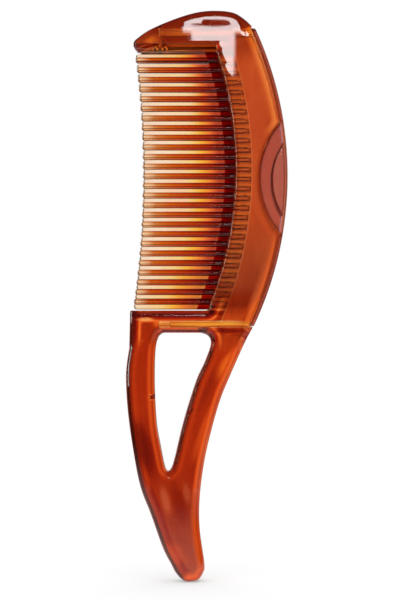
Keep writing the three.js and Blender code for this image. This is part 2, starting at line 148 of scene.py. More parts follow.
@dataclass(frozen=True)
class CombPlan:
    """The comb's sizes in millimetres, as its CAD model has them."""

    head_thickness: float = 13.0
    limb_thickness: float = 10.5
    tail_thickness: float = 9.0
    wall: float = 2.2
    handle_length: float = 87.4
    bar_height: float = 7.8
    mouth_height: float = 90.8
    cap_height: float = 14.0
    neck_length: float = 15.0
    lip_x: tuple[float, float, float] = (0.4, 10.1, 3.4)
    spine_x: tuple[float, float, float] = (16.4, 28.3, 17.0)
    strip_width: float = 1.2
    strip_overhang: float = 0.5
    tooth_root: float = 2.35
    tooth_tip: float = 2.2
    tooth_cover: float = 0.3
    channel_clearance: float = 0.25
    rib_thickness: float = 0.53
    tooth_end_gap: float = 0.25
    tip_x: tuple[float, float, float] = (-25.8, -22.5, -25.2)
    guide_proud: float = 3.8
    guide_inside: float = 5.6
    tenon_length: float = 1.6
    tenon_setback: float = 1.0
    tenon_depth: float = 3.6
    travel: float = 29.5
    runner_height: float = 1.8
    runner_width: float = 2.0
    runner_head_width: float = 3.2
    runner_head_length: float = 1.8
    runner_left_x: float = -16.5
    upper_runner_rise: float = 5.4
    lower_runner_drop: float = 3.7
    notch_height: float = 39.0
    notch_depth: float = 8.8
    lug_thickness: float = 1.3
    pad_height: float = 26.0
    pad_depth: float = 4.7
    pad_rise: float = 0.7
    pad_rim: float = 1.0
    pad_drop: float = 0.7
    peg_diameter: float = 1.8
    peg_length: float = 2.4
    fit_gap: float = 0.3

    @property
    def face_y(self) -> float:
        """Half the head's thickness."""
        return self.head_thickness / 2

    @property
    def cavity_half(self) -> float:
        """Half the thickness of the space in the head."""
        return self.face_y - self.wall

    @property
    def plate_half(self) -> float:
        """Half the thickness of the two tooth plates together."""
        return self.cavity_half - self.fit_gap

    @property
    def lug_face_y(self) -> float:
        """How far out the lugs' faces lie."""
        return self.cavity_half + self.lug_thickness

    @property
    def bar_top(self) -> float:
        """Height of the bottom bar's top."""
        return self.handle_length + self.bar_height

    @property
    def cap_underside(self) -> float:
        """Height of the cap's underside."""
        return self.bar_top + self.mouth_height

    @property
    def plate_top(self) -> float:
        """Top of the tooth plates, where the upper runner starts."""
        return self.cap_underside + self.upper_runner_rise

    @property
    def plate_bottom(self) -> float:
        """Bottom of the tooth plates, where the lower runner ends."""
        return self.bar_top - self.lower_runner_drop

    @property
    def strip_top(self) -> float:
        """Top of the spine strip."""
        return self.plate_top + self.runner_height + self.strip_overhang

    @property
    def strip_bottom(self) -> float:
        """Bottom of the spine strip."""
        return self.plate_bottom - self.runner_height

    @property
    def row_y(self) -> float:
        """How far a row of teeth lies from the middle plane."""
        return self.plate_half - self.tooth_cover - self.tooth_root / 2

    @property
    def channel_width(self) -> float:
        """Width of one tooth's channel in the guide."""
        return self.tooth_root + 2 * self.channel_clearance

    @property
    def tooth_pitch(self) -> float:
        """Distance between two teeth of a row."""
        return self.channel_width + self.rib_thickness

    @property
    def tooth_span(self) -> float:
        """Height between the lowest and the highest place for a tooth."""
        return self.mouth_height - 2 * self.tooth_end_gap - self.tooth_root

    @property
    def lowest_tooth(self) -> float:
        """Height of the lowest tooth's middle."""
        return self.bar_top + self.tooth_end_gap + self.tooth_root / 2

    @staticmethod
    def bow(xs: tuple[float, float, float], low: float, high: float) -> Arc:
        """The arc through three X at the bottom, the middle and the top of a height."""
        return Arc.through((xs[0], low), (xs[1], (low + high) / 2), (xs[2], high))

    @property
    def lip(self) -> Arc:
        """Edge of the head walls at the mouth."""
        return self.bow(self.lip_x, self.bar_top, self.cap_underside)

    @property
    def spine(self) -> Arc:
        """Outer edge of the spine strip."""
        return self.bow(self.spine_x, self.strip_bottom, self.strip_top)

    @property
    def tips(self) -> Arc:
        """Line of the tooth tips."""
        return self.bow(self.tip_x, self.lowest_tooth, self.lowest_tooth + self.tooth_span)

    def half_moon(
        self, drop: float, height: float, depth: float, set_in: float
    ) -> tuple[Arc, float, float]:
        """A half-moon whose ends lie on the spine, set in from it.

        Args:
            drop: How far its middle lies below the spine's.
            height: Height of the half-moon.
            depth: How far it reaches in from the spine.
            set_in: Distance of its ends from the spine's edge.

        Returns:
            Its arc, and the heights of its two ends.
        """
        middle = (self.strip_top + self.strip_bottom) / 2 - drop
        low, high = middle - height / 2, middle + height / 2
        spine = self.spine
        inmost = (spine.x_at(middle, -set_in) - depth, middle)
        ends = [(spine.x_at(z, -set_in), z) for z in (low, high)]
        return Arc.through(ends[0], inmost, ends[1]), low, high

    @property
    def notch(self) -> tuple[Arc, float, float]:
        """Half-moon finger notch in the spine."""
        return self.half_moon(0.0, self.notch_height, self.notch_depth, self.strip_width)

    @property
    def pad(self) -> tuple[Arc, float, float]:
        """Half-moon of the raised pad."""
        return self.half_moon(self.pad_drop, self.pad_height, self.pad_depth, self.pad_rim)

    def row_heights(self, rear: bool) -> list[float]:
        """Heights of a row's teeth: the front row stands half a pitch higher and has one less."""
        front = int(not rear)
        count = math.floor(self.tooth_span / self.tooth_pitch) + 1 - front
        start = self.lowest_tooth + front * self.tooth_pitch / 2
        return [start + i * self.tooth_pitch for i in range(count)]


@dataclass
class Outline:
    """A closed outline in plan with the rounding of its edge, from stretches drawn one after another."""

    step: float = 0.65
    ease: float = 0.9
    blend: float = 0.9
    fine_step: float = 0.1
    fewest: int = 64
    points: Loop = field(default_factory=list)
    rounds: list[tuple[float, ...]] = field(default_factory=list)

    def draw(self, points: Loop, edge: EdgeRound) -> "Outline":
        """Adds a stretch.

        Args:
            points: Points along it.
            edge: How its edge is rounded.

        Returns:
            The outline itself.
        """
        self.points += points
        self.rounds += [edge.value] * len(points)
        return self

    def sampled(self) -> tuple[np.ndarray, np.ndarray]:
        """The outline in even steps, with its corners eased and its roundings blended.

        Returns:
            Points and roundings, a row for each step.
        """
        corners = np.array([*self.points, self.points[0]])
        rounds = np.array([*self.rounds, self.rounds[0]])
        gaps = np.hypot(*np.diff(corners, axis=0).T)
        kept = np.concatenate(([True], gaps > WELD))
        corners, rounds = corners[kept], rounds[kept]
        along = np.concatenate(([0.0], np.cumsum(np.hypot(*np.diff(corners, axis=0).T))))
        fine = max(int(along[-1] / self.fine_step), self.fewest)
        places = np.linspace(0, along[-1], fine, endpoint=False)
        points = np.stack([np.interp(places, along, corners[:, i]) for i in (0, 1)], axis=1)
        edges = np.stack([np.interp(places, along, row) for row in rounds.T], axis=1)
        spacing = along[-1] / fine
        points = self.averaged(points, self.ease / spacing)
        edges = self.averaged(edges, self.blend / spacing)
        every = max(int(round(self.step / spacing)), 1)
        return points[::every], edges[::every]

    @staticmethod
    def averaged(rows: np.ndarray, width: float) -> np.ndarray:
        """Rows of a closed loop, each averaged twice with its neighbours over a width in rows."""
        half = int(round(width / 2))
        if half < 1:
            return rows
        for _ in range(2):
            rows = sum(np.roll(rows, shift, axis=0) for shift in range(-half, half + 1)) / (2 * half + 1)
        return rows


def inside(points: np.ndarray, loop: np.ndarray) -> np.ndarray:
    """Tells which points lie in a closed loop.

    Args:
        points: Points to test, a row each.
        loop: Corners of the loop, a row each.

    Returns:
        True for each point inside.
    """
    result = np.zeros(len(points), bool)
    for (x0, z0), (x1, z1) in zip(loop, np.roll(loop, -1, axis=0)):
        crosses = (z0 > points[:, 1]) != (z1 > points[:, 1])
        if crosses.any():
            at = x0 + (points[:, 1] - z0) * (x1 - x0) / ((z1 - z0) or 1e-12)
            result ^= crosses & (points[:, 0] < at)
    return result


class PlanSheet:
    """A triangulated sheet over an outline, in rings along the edges and a loose mesh between them."""

    RING_TURNS = (14, 28, 42, 55, 68, 80, 90)
    RING_CLEAR = 0.985
    RING_LEAST = 0.03
    PROBE = 0.05
    PART = 400
    SNAP = 1e-5

    def __init__(
        self, outlines: list[Outline], cuts: list[Loop], grain: float = 1.7, border: Lines | None = None
    ) -> None:
        """Makes the sheet.

        Args:
            outlines: The outer outline, and then those of holes.
            cuts: Closed lines that the triangles keep to.
            grain: Distance of the points away from the edges.
            border: Border of another sheet over the same outlines, to be met point by point.
        """
        drawn = [outline.sampled() for outline in outlines]
        self.loops = [points for points, _ in drawn]
        self.edge_start = np.concatenate(self.loops)
        ends = np.concatenate([np.roll(points, -1, axis=0) for points in self.loops])
        self.edge_span = ends - self.edge_start
        self.rounds = np.concatenate([edges for _, edges in drawn])
        self.inwards = np.concatenate([self.inward_normals(points) for points in self.loops])
        points, lines = self.joined(border, cuts) if border else self.joined(([], []), [*self.loops, *cuts])
        loose = np.concatenate([*self.rings(), self.between(grain)])
        corners = [Vector(p) for p in [*points, *loose]]
        found, _, triangles, *_ = delaunay_2d_cdt(corners, lines, [], 0, self.SNAP)
        self.points, faces = np.array([tuple(v) for v in found]), np.array(triangles)
        self.faces = faces[self.covers(self.points[faces].mean(axis=1))]
        self.lowering = self.lowered()

    def covers(self, points: np.ndarray) -> np.ndarray:
        """Tells which points lie in the outer outline and in no hole."""
        result = inside(points, self.loops[0])
        for hole in self.loops[1:]:
            result &= ~inside(points, hole)
        return result

    def border(self) -> Lines:
        """The sheet's border: its points, and its lines as pairs of them."""
        a, b, c = self.faces.T
        sides = np.concatenate([np.stack(pair, axis=1) for pair in ((a, b), (b, c), (c, a))])
        pairs, uses = np.unique(np.sort(sides, axis=1), axis=0, return_counts=True)
        used, numbers = np.unique(pairs[uses == 1], return_inverse=True)
        return [tuple(p) for p in self.points[used]], [tuple(p) for p in numbers.reshape(-1, 2)]

    @staticmethod
    def joined(known: Lines, loops: list[Loop]) -> Lines:
        """Points and lines with those of closed loops added."""
        points, lines = list(known[0]), list(known[1])
        for loop in loops:
            first, count = len(points), len(loop)
            points += [tuple(p) for p in loop]
            lines += [(first + i, first + (i + 1) % count) for i in range(count)]
        return points, lines

    def measured(self, points: np.ndarray, measure: Callable[[np.ndarray], np.ndarray]) -> np.ndarray:
        """Measures points by their distances to the outlines' steps, some points at a time.

        Args:
            points: The points, a row each.
            measure: Makes rows of results from rows of distances.

        Returns:
            The results, a row for each point.
        """
        length = np.maximum((self.edge_span**2).sum(axis=1), 1e-12)
        results = []
        for part in np.array_split(points, max(len(points) // self.PART, 1)):
            offset = part[:, None, :] - self.edge_start[None, :, :]
            share = np.clip((offset * self.edge_span).sum(axis=2) / length, 0, 1)
            results.append(measure(np.linalg.norm(offset - share[:, :, None] * self.edge_span, axis=2)))
        return np.concatenate(results)

    def nearest(self, points: np.ndarray) -> tuple[np.ndarray, np.ndarray]:
        """Distance of each point to the outlines, and the number of the nearest step."""
        found = self.measured(points, lambda away: np.stack([away.min(1), away.argmin(1)], axis=1))
        return found[:, 0], found[:, 1].astype(int)

    def rings(self) -> list[np.ndarray]:
        """Points in rings along the edges, closer together where the rounding is steep."""
        result = []
        first = 0
        for loop in self.loops:
            here = slice(first, first + len(loop))
            first += len(loop)
            for turn in np.radians(self.RING_TURNS):
                depth = self.rounds[here, 0] * (1 - math.cos(turn))
                ring = loop + self.inwards[here] * depth[:, None]
                clear = self.nearest(ring)[0] > self.RING_CLEAR * depth
                result.append(ring[clear & (depth > self.RING_LEAST)])
        return result

    def inward_normals(self, loop: np.ndarray) -> np.ndarray:
        """Directions from an outline's steps into the sheet."""
        ahead = np.roll(loop, -1, axis=0) - np.roll(loop, 1, axis=0)
        normal = np.stack([-ahead[:, 1], ahead[:, 0]], axis=1)
        normal /= np.linalg.norm(normal, axis=1)[:, None]
        return normal if self.covers(loop[:1] + normal[:1] * self.PROBE)[0] else -normal

    def between(self, grain: float) -> np.ndarray:
        """Points of a loose mesh over the outlines' inside, away from the rings."""
        low, high = self.loops[0].min(axis=0), self.loops[0].max(axis=0)
        rows = np.arange(low[1] + grain / 2, high[1], grain * math.sqrt(0.75))
        places = [
            (x, z)
            for i, z in enumerate(rows)
            for x in np.arange(low[0] + grain / 2 * (1 + i % 2), high[0], grain)
        ]
        points = np.array(places)
        points = points[self.covers(points)]
        depth, step = self.nearest(points)
        return points[depth > self.rounds[step, 0] + grain / 3]

    def lowered(self) -> np.ndarray:
        """How far the roundings bring each point down from the face."""
        run, drop, fall = self.rounds.T
        return self.measured(self.points, lambda away: (
            drop * (1 - np.sqrt(1 - (1 - np.minimum(away / run, 1)) ** 2))
            + fall * (1 - np.minimum(away / CROWN_REACH, 1)) ** 2
        ).max(axis=1))

    def solid(self, near: np.ndarray, far: np.ndarray) -> bmesh.types.BMesh:
        """A closed body between two heights over the sheet.

        Args:
            near: Y of each point on one side, in millimetres.
            far: Y of each point on the other side.

        Returns:
            The body, in metres.
        """
        return body_between(self, near, self, far, near, np.zeros(len(far)))


def body_between(
    face: PlanSheet,
    face_y: np.ndarray,
    back: PlanSheet,
    back_y: np.ndarray,
    border_y: np.ndarray,
    back_hollow: np.ndarray,
) -> bmesh.types.BMesh:
    """A closed body between two sheets with the same border.

    Args:
        face: Sheet of the outer face.
        face_y: Y of each of its points, in millimetres.
        back: Sheet of the inner face.
        back_y: Y of each of its points.
        border_y: Y of the outer face at each point of the inner sheet, for the wall between them.
        back_hollow: 1 for each point of the inner sheet in a hollow, and 0 for others.

    Returns:
        The body, in metres, with each point's distance from the outline, how far its edge faces the painted
        light, and whether it is in a hollow.
    """
    bm = bmesh.new()
    place = bm.verts.layers.int.new("place")
    rim = bm.verts.layers.float.new("rim")
    facing = bm.verts.layers.float.new("facing")
    hollow = bm.verts.layers.float.new("hollow")
    for sheet, heights in ((back, back_y), (face, face_y)):
        depth, step = sheet.nearest(sheet.points)
        # How far each edge faces the painted light.
        turn = -sheet.inwards[step] @ PAINTED_LIGHT_SIDE
        verts = []
        for i, (x, z) in enumerate(sheet.points):
            vert = bm.verts.new((x * MM, heights[i] * MM, z * MM))
            vert[place], vert[rim], vert[facing] = i, depth[i], turn[i]
            vert[hollow] = back_hollow[i] if heights is back_y else 0.0
            verts.append(vert)
        for a, b, c in sheet.faces:
            bm.faces.new((verts[a], verts[b], verts[c]))
        if heights is back_y:
            wall = [e for e in bm.edges if e.is_boundary]
            grown = bmesh.ops.extrude_edge_only(bm, edges=wall)
            for v in grown["geom"]:
                if isinstance(v, bmesh.types.BMVert):
                    v.co.y = border_y[v[place]] * MM
    loose = [v for v in bm.verts if not v.link_faces]
    bmesh.ops.delete(bm, geom=loose, context="VERTS")
    return closed(bm, WELD)


def closed(bm: bmesh.types.BMesh, weld: float) -> bmesh.types.BMesh:
    """A mesh with the points closer than a distance made one and its faces turned outwards."""
    bmesh.ops.remove_doubles(bm, verts=bm.verts[:], dist=weld)
    bmesh.ops.recalc_face_normals(bm, faces=bm.faces[:])
    return bm


def as_object(bm: bmesh.types.BMesh, name: str, sharp: float = 24.0) -> bpy.types.Object:
    """A smooth-shaded object from a mesh.

    Args:
        bm: The mesh, which is used up.
        name: Name of the piece.
        sharp: Angle in degrees past which an edge stays sharp.

    Returns:
        The object, in the scene.
    """
    mesh = bpy.data.meshes.new(name)
    bm.to_mesh(mesh)
    bm.free()
    result = bpy.data.objects.new(name, smoothed(mesh, sharp))
    bpy.context.scene.collection.objects.link(result)
    return result


def smoothed(mesh: bpy.types.Mesh, sharp: float) -> bpy.types.Mesh:
    """A mesh shaded smooth but for edges past an angle in degrees."""
    mesh.shade_smooth()
    mesh.set_sharp_from_angle(angle=math.radians(sharp))
    return mesh


def fused(base: bpy.types.Object, other: bpy.types.Object, sharp: float = 32.0) -> bpy.types.Object:
    """One closed body from two that overlap.

    Args:
        base: The piece that stays.
        other: The piece that is used up.
        sharp: Angle in degrees past which an edge stays sharp.

    Returns:
        The base, with its new mesh.
    """
    joint = base.modifiers.new("fuse", "BOOLEAN")
    joint.operation, joint.solver, joint.object = "UNION", "EXACT", other
    graph = bpy.context.evaluated_depsgraph_get()
    mesh = bpy.data.meshes.new_from_object(base.evaluated_get(graph))
    base.modifiers.clear()
    base.data = smoothed(mesh, sharp)
    bpy.data.objects.remove(other)
    return base


class Wire:
    """A node's output socket, for use in plain arithmetic."""

    def __init__(self, graph: "Graph", socket: bpy.types.NodeSocket) -> None:
        """Keeps the graph and the socket."""
        self.graph, self.socket = graph, socket

    def maths(self, operation: str, a: object, b: object) -> "Wire":
        """A Math node's result."""
        return self.graph.node("ShaderNodeMath", {"operation": operation}, {0: a, 1: b})

    def __add__(self, other: object) -> "Wire":
        """Sum with a number or wire."""
        return self.maths("ADD", self, other)

    def __sub__(self, other: object) -> "Wire":
        """Difference from a number or wire."""
        return self.maths("SUBTRACT", self, other)

    def __rsub__(self, other: object) -> "Wire":
        """Difference of a number and this."""
        return self.maths("SUBTRACT", other, self)

    def __mul__(self, other: object) -> "Wire":
        """Product with a number or wire."""
        return self.maths("MULTIPLY", self, other)

    def __truediv__(self, other: object) -> "Wire":
        """Quotient with a number or wire."""
        return self.maths("DIVIDE", self, other)

    __radd__, __rmul__ = __add__, __mul__


class Graph:
    """The node tree of a material or world."""

    def __init__(self, owner: bpy.types.Material | bpy.types.World) -> None:
        """Starts with an empty tree."""
        owner.use_nodes = True
        self.tree = owner.node_tree
        self.tree.nodes.clear()

    def node(
        self, kind: str, settings: dict | None = None, inputs: dict | None = None, out: object = 0
    ) -> Wire:
        """Adds a node.

        Args:
            kind: The node's type.
            settings: Properties to set first; a ramp's stops are given as "stops".
            inputs: Values or wires for its sockets, by name or number.
            out: The output that is wanted, by name or number.

        Returns:
            A wire from that output.
        """
        node = self.tree.nodes.new(kind)
        for name, value in (settings or {}).items():
            if name == "stops":
                ramp = node.color_ramp.elements
                while len(ramp) < len(value):
                    ramp.new(0.5)
                for stop, (place, colour) in zip(ramp, value):
                    stop.position, stop.color = place, (*colour, 1.0)
            else:
                setattr(node, name, value)
        for name, value in (inputs or {}).items():
            if isinstance(value, Wire):
                self.tree.links.new(value.socket, node.inputs[name])
            else:
                node.inputs[name].default_value = value
        return Wire(self, node.outputs[out]) if node.outputs else Wire(self, None)

    def step(self, value: Wire, start: float, end: float) -> Wire:
        """A smooth step from 0 to 1 between two values."""
        limits = {"Value": value, "From Min": start, "From Max": end, "To Min": 0.0, "To Max": 1.0}
        return self.node("ShaderNodeMapRange", {"interpolation_type": "SMOOTHSTEP"}, limits)

    def mixed(self, share: Wire, a: object, b: object) -> Wire:
        """Two colours mixed by a share of the second."""
        return self.node("ShaderNodeMix", {"data_type": "RGBA"}, {0: share, 6: a, 7: b}, 2)

    def vector(self, operation: str, a: Wire, b: object = None, out: object = 0) -> Wire:
        """A Vector Math node's result."""
        inputs = {0: a} if b is None else {0: a, 1: b}
        return self.node("ShaderNodeVectorMath", {"operation": operation}, inputs, out)

    def axis(self, vector: Wire, name: str) -> Wire:
        """One part of a vector."""
        return self.node("ShaderNodeSeparateXYZ", {}, {0: vector}, name)

    def attribute(self, name: str) -> Wire:
        """A measure that the mesh carries at its points."""
        return self.node("ShaderNodeAttribute", {"attribute_name": name}, out="Fac")

    def noise(self, place: Wire, scale: float, detail: float, distortion: float = 0.0) -> Wire:
        """A noise over places."""
        look = {"Vector": place, "Scale": scale, "Detail": detail, "Distortion": distortion}
        return self.node("ShaderNodeTexNoise", {}, look)

    def ray(self, kind: str) -> Wire:
        """1 for rays of a kind and 0 for others."""
        return self.node("ShaderNodeLightPath", out=f"Is {kind} Ray")


Shade = tuple[float, float, float]
Stops = tuple[tuple[float, Shade], ...]

STRETCH = (1.0, 1.0, 0.35)
CLOUD_STOPS, CLOUD_SWIRL = (0.38, 0.62), 0.8
SMUDGE_SCALE, SCUFF_SCALE, WAVE_SCALE = 160.0, 1400.0, 90.0
SMUDGE_SHARE, SCUFF_SHARE = 0.6, 0.4
RIM_BLEND = 3.0
PAINTED_LIGHT_TURN = (0.0, 0.6)
SIDE_TURN = (0.45, 0.9)
FLOW_EDGE = (0.3, 1.0)
FROST_REACH = (-27.0, -20.0)
TIP_REACH = (0.6, 5.5)
INNER_START = (-0.5, 0.3)
BAND_START = (-0.4, 0.3)


def shade(graph: Graph, measure: Wire, stops: Stops) -> Wire:
    """A colour that depends on a measure.

    Args:
        graph: Graph of the material.
        measure: What the colour depends on.
        stops: The measure and the colour at each stop.

    Returns:
        The colour.
    """
    first, last = stops[0][0], stops[-1][0]
    share = (measure - first) * (1 / (last - first))
    places = [((place - first) / (last - first), colour) for place, colour in stops]
    return graph.node("ShaderNodeValToRGB", {"stops": places}, {"Fac": share})


@dataclass(frozen=True)
class PaintedRim:
    """Painted light and shade along a piece's outline, from a height upwards.

    Edges that face the painted light and others have stops of their own: a distance in millimetres and the
    colour painted there. Past the last distance the finish has its own colour.
    """

    above: float
    lit: Stops
    unlit: Stops

    def edged(self, graph: Graph, colour: Wire) -> Wire:
        """The colour with its painted rim light and shade."""
        depth, facing = graph.attribute("rim"), graph.attribute("facing")
        # Painted lit colours on edges that face the painted light, painted shaded colours on the others.
        painted_lit, painted_dark = (
            graph.mixed(graph.step(depth, stops[-2][0], stops[-1][0]), shade(graph, depth, stops), colour)
            for stops in (self.lit, self.unlit)
        )
        return graph.mixed(graph.step(facing, *PAINTED_LIGHT_TURN), painted_dark, painted_lit)


@dataclass(frozen=True)
class PaintedPatch:
    """A soft patch of painted light where its colour is bright and painted shade where it is dark: its
    place, reach and turn in plan, its colour and its share.
    """

    x: float
    z: float
    reach_x: float
    reach_z: float
    turn: float
    colour: Shade
    share: float

    def painted_on(self, graph: Graph, place: Wire, colour: Wire) -> Wire:
        """The colour with this painted patch in it."""
        patch = {
            "Vector": place,
            "Location": (self.x * MM, 0.0, self.z * MM),
            "Rotation": (0.0, math.radians(self.turn), 0.0),
            "Scale": (self.reach_x * MM, 1.0, self.reach_z * MM),
        }
        within = graph.node("ShaderNodeMapping", {"vector_type": "TEXTURE"}, patch)
        share = (1 - graph.step(graph.vector("LENGTH", within, out="Value"), *FLOW_EDGE)) * self.share
        return graph.mixed(share, colour, (*self.colour, 1.0))


class ShadeAlong(Enum):
    """What a finish's shade depends on."""

    LIP = "distance from the lip, negative towards the tooth tips"
    TIPS = "distance from the line of the tooth tips"
    HEIGHT = "height"

    def measured(self, graph: Graph, place: Wire) -> Wire:
        """The measure in millimetres at a place in object coordinates."""
        if self is ShadeAlong.HEIGHT:
            return graph.axis(place, "Z") * (1 / MM)
        arc = CombPlan().lip if self is ShadeAlong.LIP else CombPlan().tips
        in_plan = graph.vector("MULTIPLY", place, (1.0, 0.0, 1.0))
        reach = graph.vector("DISTANCE", in_plan, (arc.x * MM, 0.0, arc.z * MM), "Value")
        return reach * (1 / MM) - arc.radius


@dataclass(frozen=True)
class PaintedToothBands:
    """Painted light in bright bands inside the lip where teeth pass: height of one, their pitch, reach and
    colour.
    """

    start: float
    pitch: float
    reach: float
    colour: Shade

    def laid(self, graph: Graph, place: Wire, colour: Wire) -> Wire:
        """The colour with the painted bright bands on it."""
        height = ShadeAlong.HEIGHT.measured(graph, place) - self.start
        away = graph.node("ShaderNodeMath", {"operation": "PINGPONG"}, {0: height, 1: self.pitch / 2})
        within = graph.step(ShadeAlong.LIP.measured(graph, place), *BAND_START)
        return graph.mixed(within * (1 - graph.step(away, 0.0, self.reach)), colour, (*self.colour, 1.0))


@dataclass(frozen=True)
class ClearPlastic:
    """A clear moulded plastic that darkens with thickness, with faint clouds, painted light and shade, and
    wear.

    Its shades are stops of a colour that changes over the comb, and its side shades paint light and shade
    on faces that look up or down. Its painted rim light and shade change the colour along the piece's
    outline.
    Its painted patches of light and shade lie under that, and its painted glints and dark marks over it.
    Inside the lip it can bend light less.
    """

    name: str
    absorbs: Shade
    cloud: Shade
    cloud_size: float
    haze: float
    wave_height: float
    along: ShadeAlong
    shades: Stops
    painted_rims: tuple[PaintedRim, ...] = ()
    painted_patches: tuple[PaintedPatch, ...] = ()
    painted_side_shades: Stops = ()
    bend: float = 1.49
    inner_bend: float | None = None
    painted_glints: tuple[PaintedPatch, ...] = ()
    frost: float = 0.0
    tip: Shade | None = None
    bands: PaintedToothBands | None = None

    def material(self) -> bpy.types.Material:
        """Makes the material.

        Returns:
            The new material.
        """
        result = bpy.data.materials.new(self.name)
        graph = Graph(result)
        place = graph.node("ShaderNodeTexCoord", out="Object")
        stretched = graph.node("ShaderNodeMapping", {}, {"Vector": place, "Scale": STRETCH})
        smudges, scuffs = graph.noise(place, SMUDGE_SCALE, 6.0), graph.noise(stretched, SCUFF_SCALE, 2.0)
        roughness = self.haze + smudges * self.haze * SMUDGE_SHARE + scuffs * self.haze * SCUFF_SHARE
        if self.frost:
            roughness += graph.step(ShadeAlong.LIP.measured(graph, place), *FROST_REACH) * self.frost
        waves = {"Distance": self.wave_height * MM, "Height": graph.noise(stretched, WAVE_SCALE, 1.0)}
        bump = graph.node("ShaderNodeBump", {}, {"Strength": 1.0, **waves})
        colour = self.colour(graph, place, stretched)
        look = {"Base Color": colour, "Roughness": roughness, "Transmission Weight": 1.0, "Normal": bump}
        surface = graph.node("ShaderNodeBsdfPrincipled", {}, {**look, "IOR": self.bend})
        if self.inner_bend:
            inner = graph.node("ShaderNodeBsdfPrincipled", {}, {**look, "IOR": self.inner_bend})
            within = graph.step(ShadeAlong.LIP.measured(graph, place), *INNER_START)
            surface = graph.node("ShaderNodeMixShader", {}, {0: within, 1: surface, 2: inner})
        most = max(self.absorbs)
        tint = tuple(1 - a / most for a in self.absorbs)
        body = graph.node("ShaderNodeVolumeAbsorption", {}, {"Color": (*tint, 1.0), "Density": most / MM})
        graph.node("ShaderNodeOutputMaterial", {}, {"Surface": surface, "Volume": body})
        return result

    def colour(self, graph: Graph, place: Wire, stretched: Wire) -> Wire:
        """The colour, with its clouds, shades, and its painted bands, patches and rim light and shade.

        Args:
            graph: Graph of the material.
            place: Place in object coordinates.
            stretched: The place, drawn out along the comb.

        Returns:
            The colour.
        """
        clouds = graph.noise(stretched, 1 / self.cloud_size, 4.0, CLOUD_SWIRL)
        stops = [(CLOUD_STOPS[0], self.cloud), (CLOUD_STOPS[1], (1.0, 1.0, 1.0))]
        colour = graph.node("ShaderNodeValToRGB", {"stops": stops}, {"Fac": clouds})
        tones = {"data_type": "RGBA", "blend_type": "MULTIPLY"}
        colour = graph.node("ShaderNodeMix", tones, {0: 1.0, 6: colour, 7: self.tone(graph, place)}, 2)
        # Painted light: bright bands where the teeth pass inside the lip.
        if self.bands:
            colour = self.bands.laid(graph, place, colour)
        # Painted patches of light and shade, under the rim light.
        for painted_patch in self.painted_patches:
            colour = painted_patch.painted_on(graph, place, colour)
        # Painted rim light and shade along the outline.
        if self.painted_rims:
            colour = self.edged(graph, colour, ShadeAlong.HEIGHT.measured(graph, place))
        # Painted glints over the rim light: highlight lines, pale reflections and dark marks.
        for painted_glint in self.painted_glints:
            colour = painted_glint.painted_on(graph, place, colour)
        return colour

    def tone(self, graph: Graph, place: Wire) -> Wire:
        """The shade at a place, with the tooth tips' and painted light and shade on faces that look up or
        down.
        """
        measure = self.along.measured(graph, place)
        result = shade(graph, measure, self.shades)
        if self.tip:
            from_tips = graph.step(ShadeAlong.TIPS.measured(graph, place), *TIP_REACH)
            result = graph.mixed(from_tips, (*self.tip, 1.0), result)
        # Painted light and shade on faces that look up or down.
        if self.painted_side_shades:
            up = graph.axis(graph.node("ShaderNodeTexCoord", out="Normal"), "Z")
            painted_side = graph.step(graph.node("ShaderNodeMath", {"operation": "ABSOLUTE"}, {0: up}), *SIDE_TURN)
            result = graph.mixed(painted_side, result, shade(graph, measure, self.painted_side_shades))
        return result

    def edged(self, graph: Graph, colour: Wire, height: Wire) -> Wire:
        """The colour with the painted rim light and shade of each height.

        Args:
            graph: Graph of the material.
            colour: Colour away from the outline.
            height: Height in millimetres.

        Returns:
            The colour with the painted rim light and shade, and white in hollows, where the wall is thin.
        """
        result = self.painted_rims[0].edged(graph, colour)
        for rim in self.painted_rims[1:]:
            above = graph.step(height, rim.above - RIM_BLEND, rim.above + RIM_BLEND)
            result = graph.mixed(above, result, rim.edged(graph, colour))
        return graph.mixed(graph.attribute("hollow"), result, (1.0, 1.0, 1.0, 1.0))


# Painted rim light and shade for each height of the frame, from the tail to the cap: the lit stops paint a
# glow with dark lines on edges that face the painted light, the unlit stops paint dark edges with bright
# lines.
TAIL_RIM = PaintedRim(
    0.0,
    (
        (0.0, (0.70, 0.42, 0.28)), (0.3, (0.72, 0.36, 0.22)), (0.7, (0.55, 0.16, 0.06)),
        (1.0, (0.58, 0.12, 0.02)), (1.4, (0.90, 0.36, 0.14)), (1.9, (0.96, 0.40, 0.15)),
        (2.4, (0.86, 0.36, 0.13)), (3.4, (0.70, 0.28, 0.12)),
    ),
    (
        (0.0, (0.40, 0.16, 0.12)), (0.5, (0.55, 0.24, 0.16)), (1.7, (0.64, 0.26, 0.15)),
        (2.7, (0.60, 0.16, 0.05)), (3.6, (0.52, 0.10, 0.02)), (4.6, (0.64, 0.20, 0.08)),
    ),
)
HANDLE_RIM = PaintedRim(
    33.0,
    (
        (0.0, (0.72, 0.44, 0.28)), (0.3, (1.0, 0.62, 0.34)), (0.65, (0.80, 0.34, 0.13)),
        (0.95, (0.38, 0.06, 0.01)), (1.25, (0.80, 0.30, 0.11)), (1.6, (1.0, 0.58, 0.29)),
        (2.0, (1.0, 0.56, 0.28)), (2.4, (0.88, 0.32, 0.11)), (3.2, (0.74, 0.24, 0.08)),
    ),
    (
        (0.0, (0.36, 0.12, 0.11)), (0.5, (0.42, 0.16, 0.14)), (0.9, (0.45, 0.12, 0.07)),
        (1.3, (0.36, 0.08, 0.04)), (1.7, (0.40, 0.08, 0.04)), (2.1, (0.50, 0.13, 0.04)),
        (2.5, (0.72, 0.23, 0.07)), (3.0, (0.70, 0.22, 0.07)), (4.2, (0.70, 0.20, 0.06)),
    ),
)
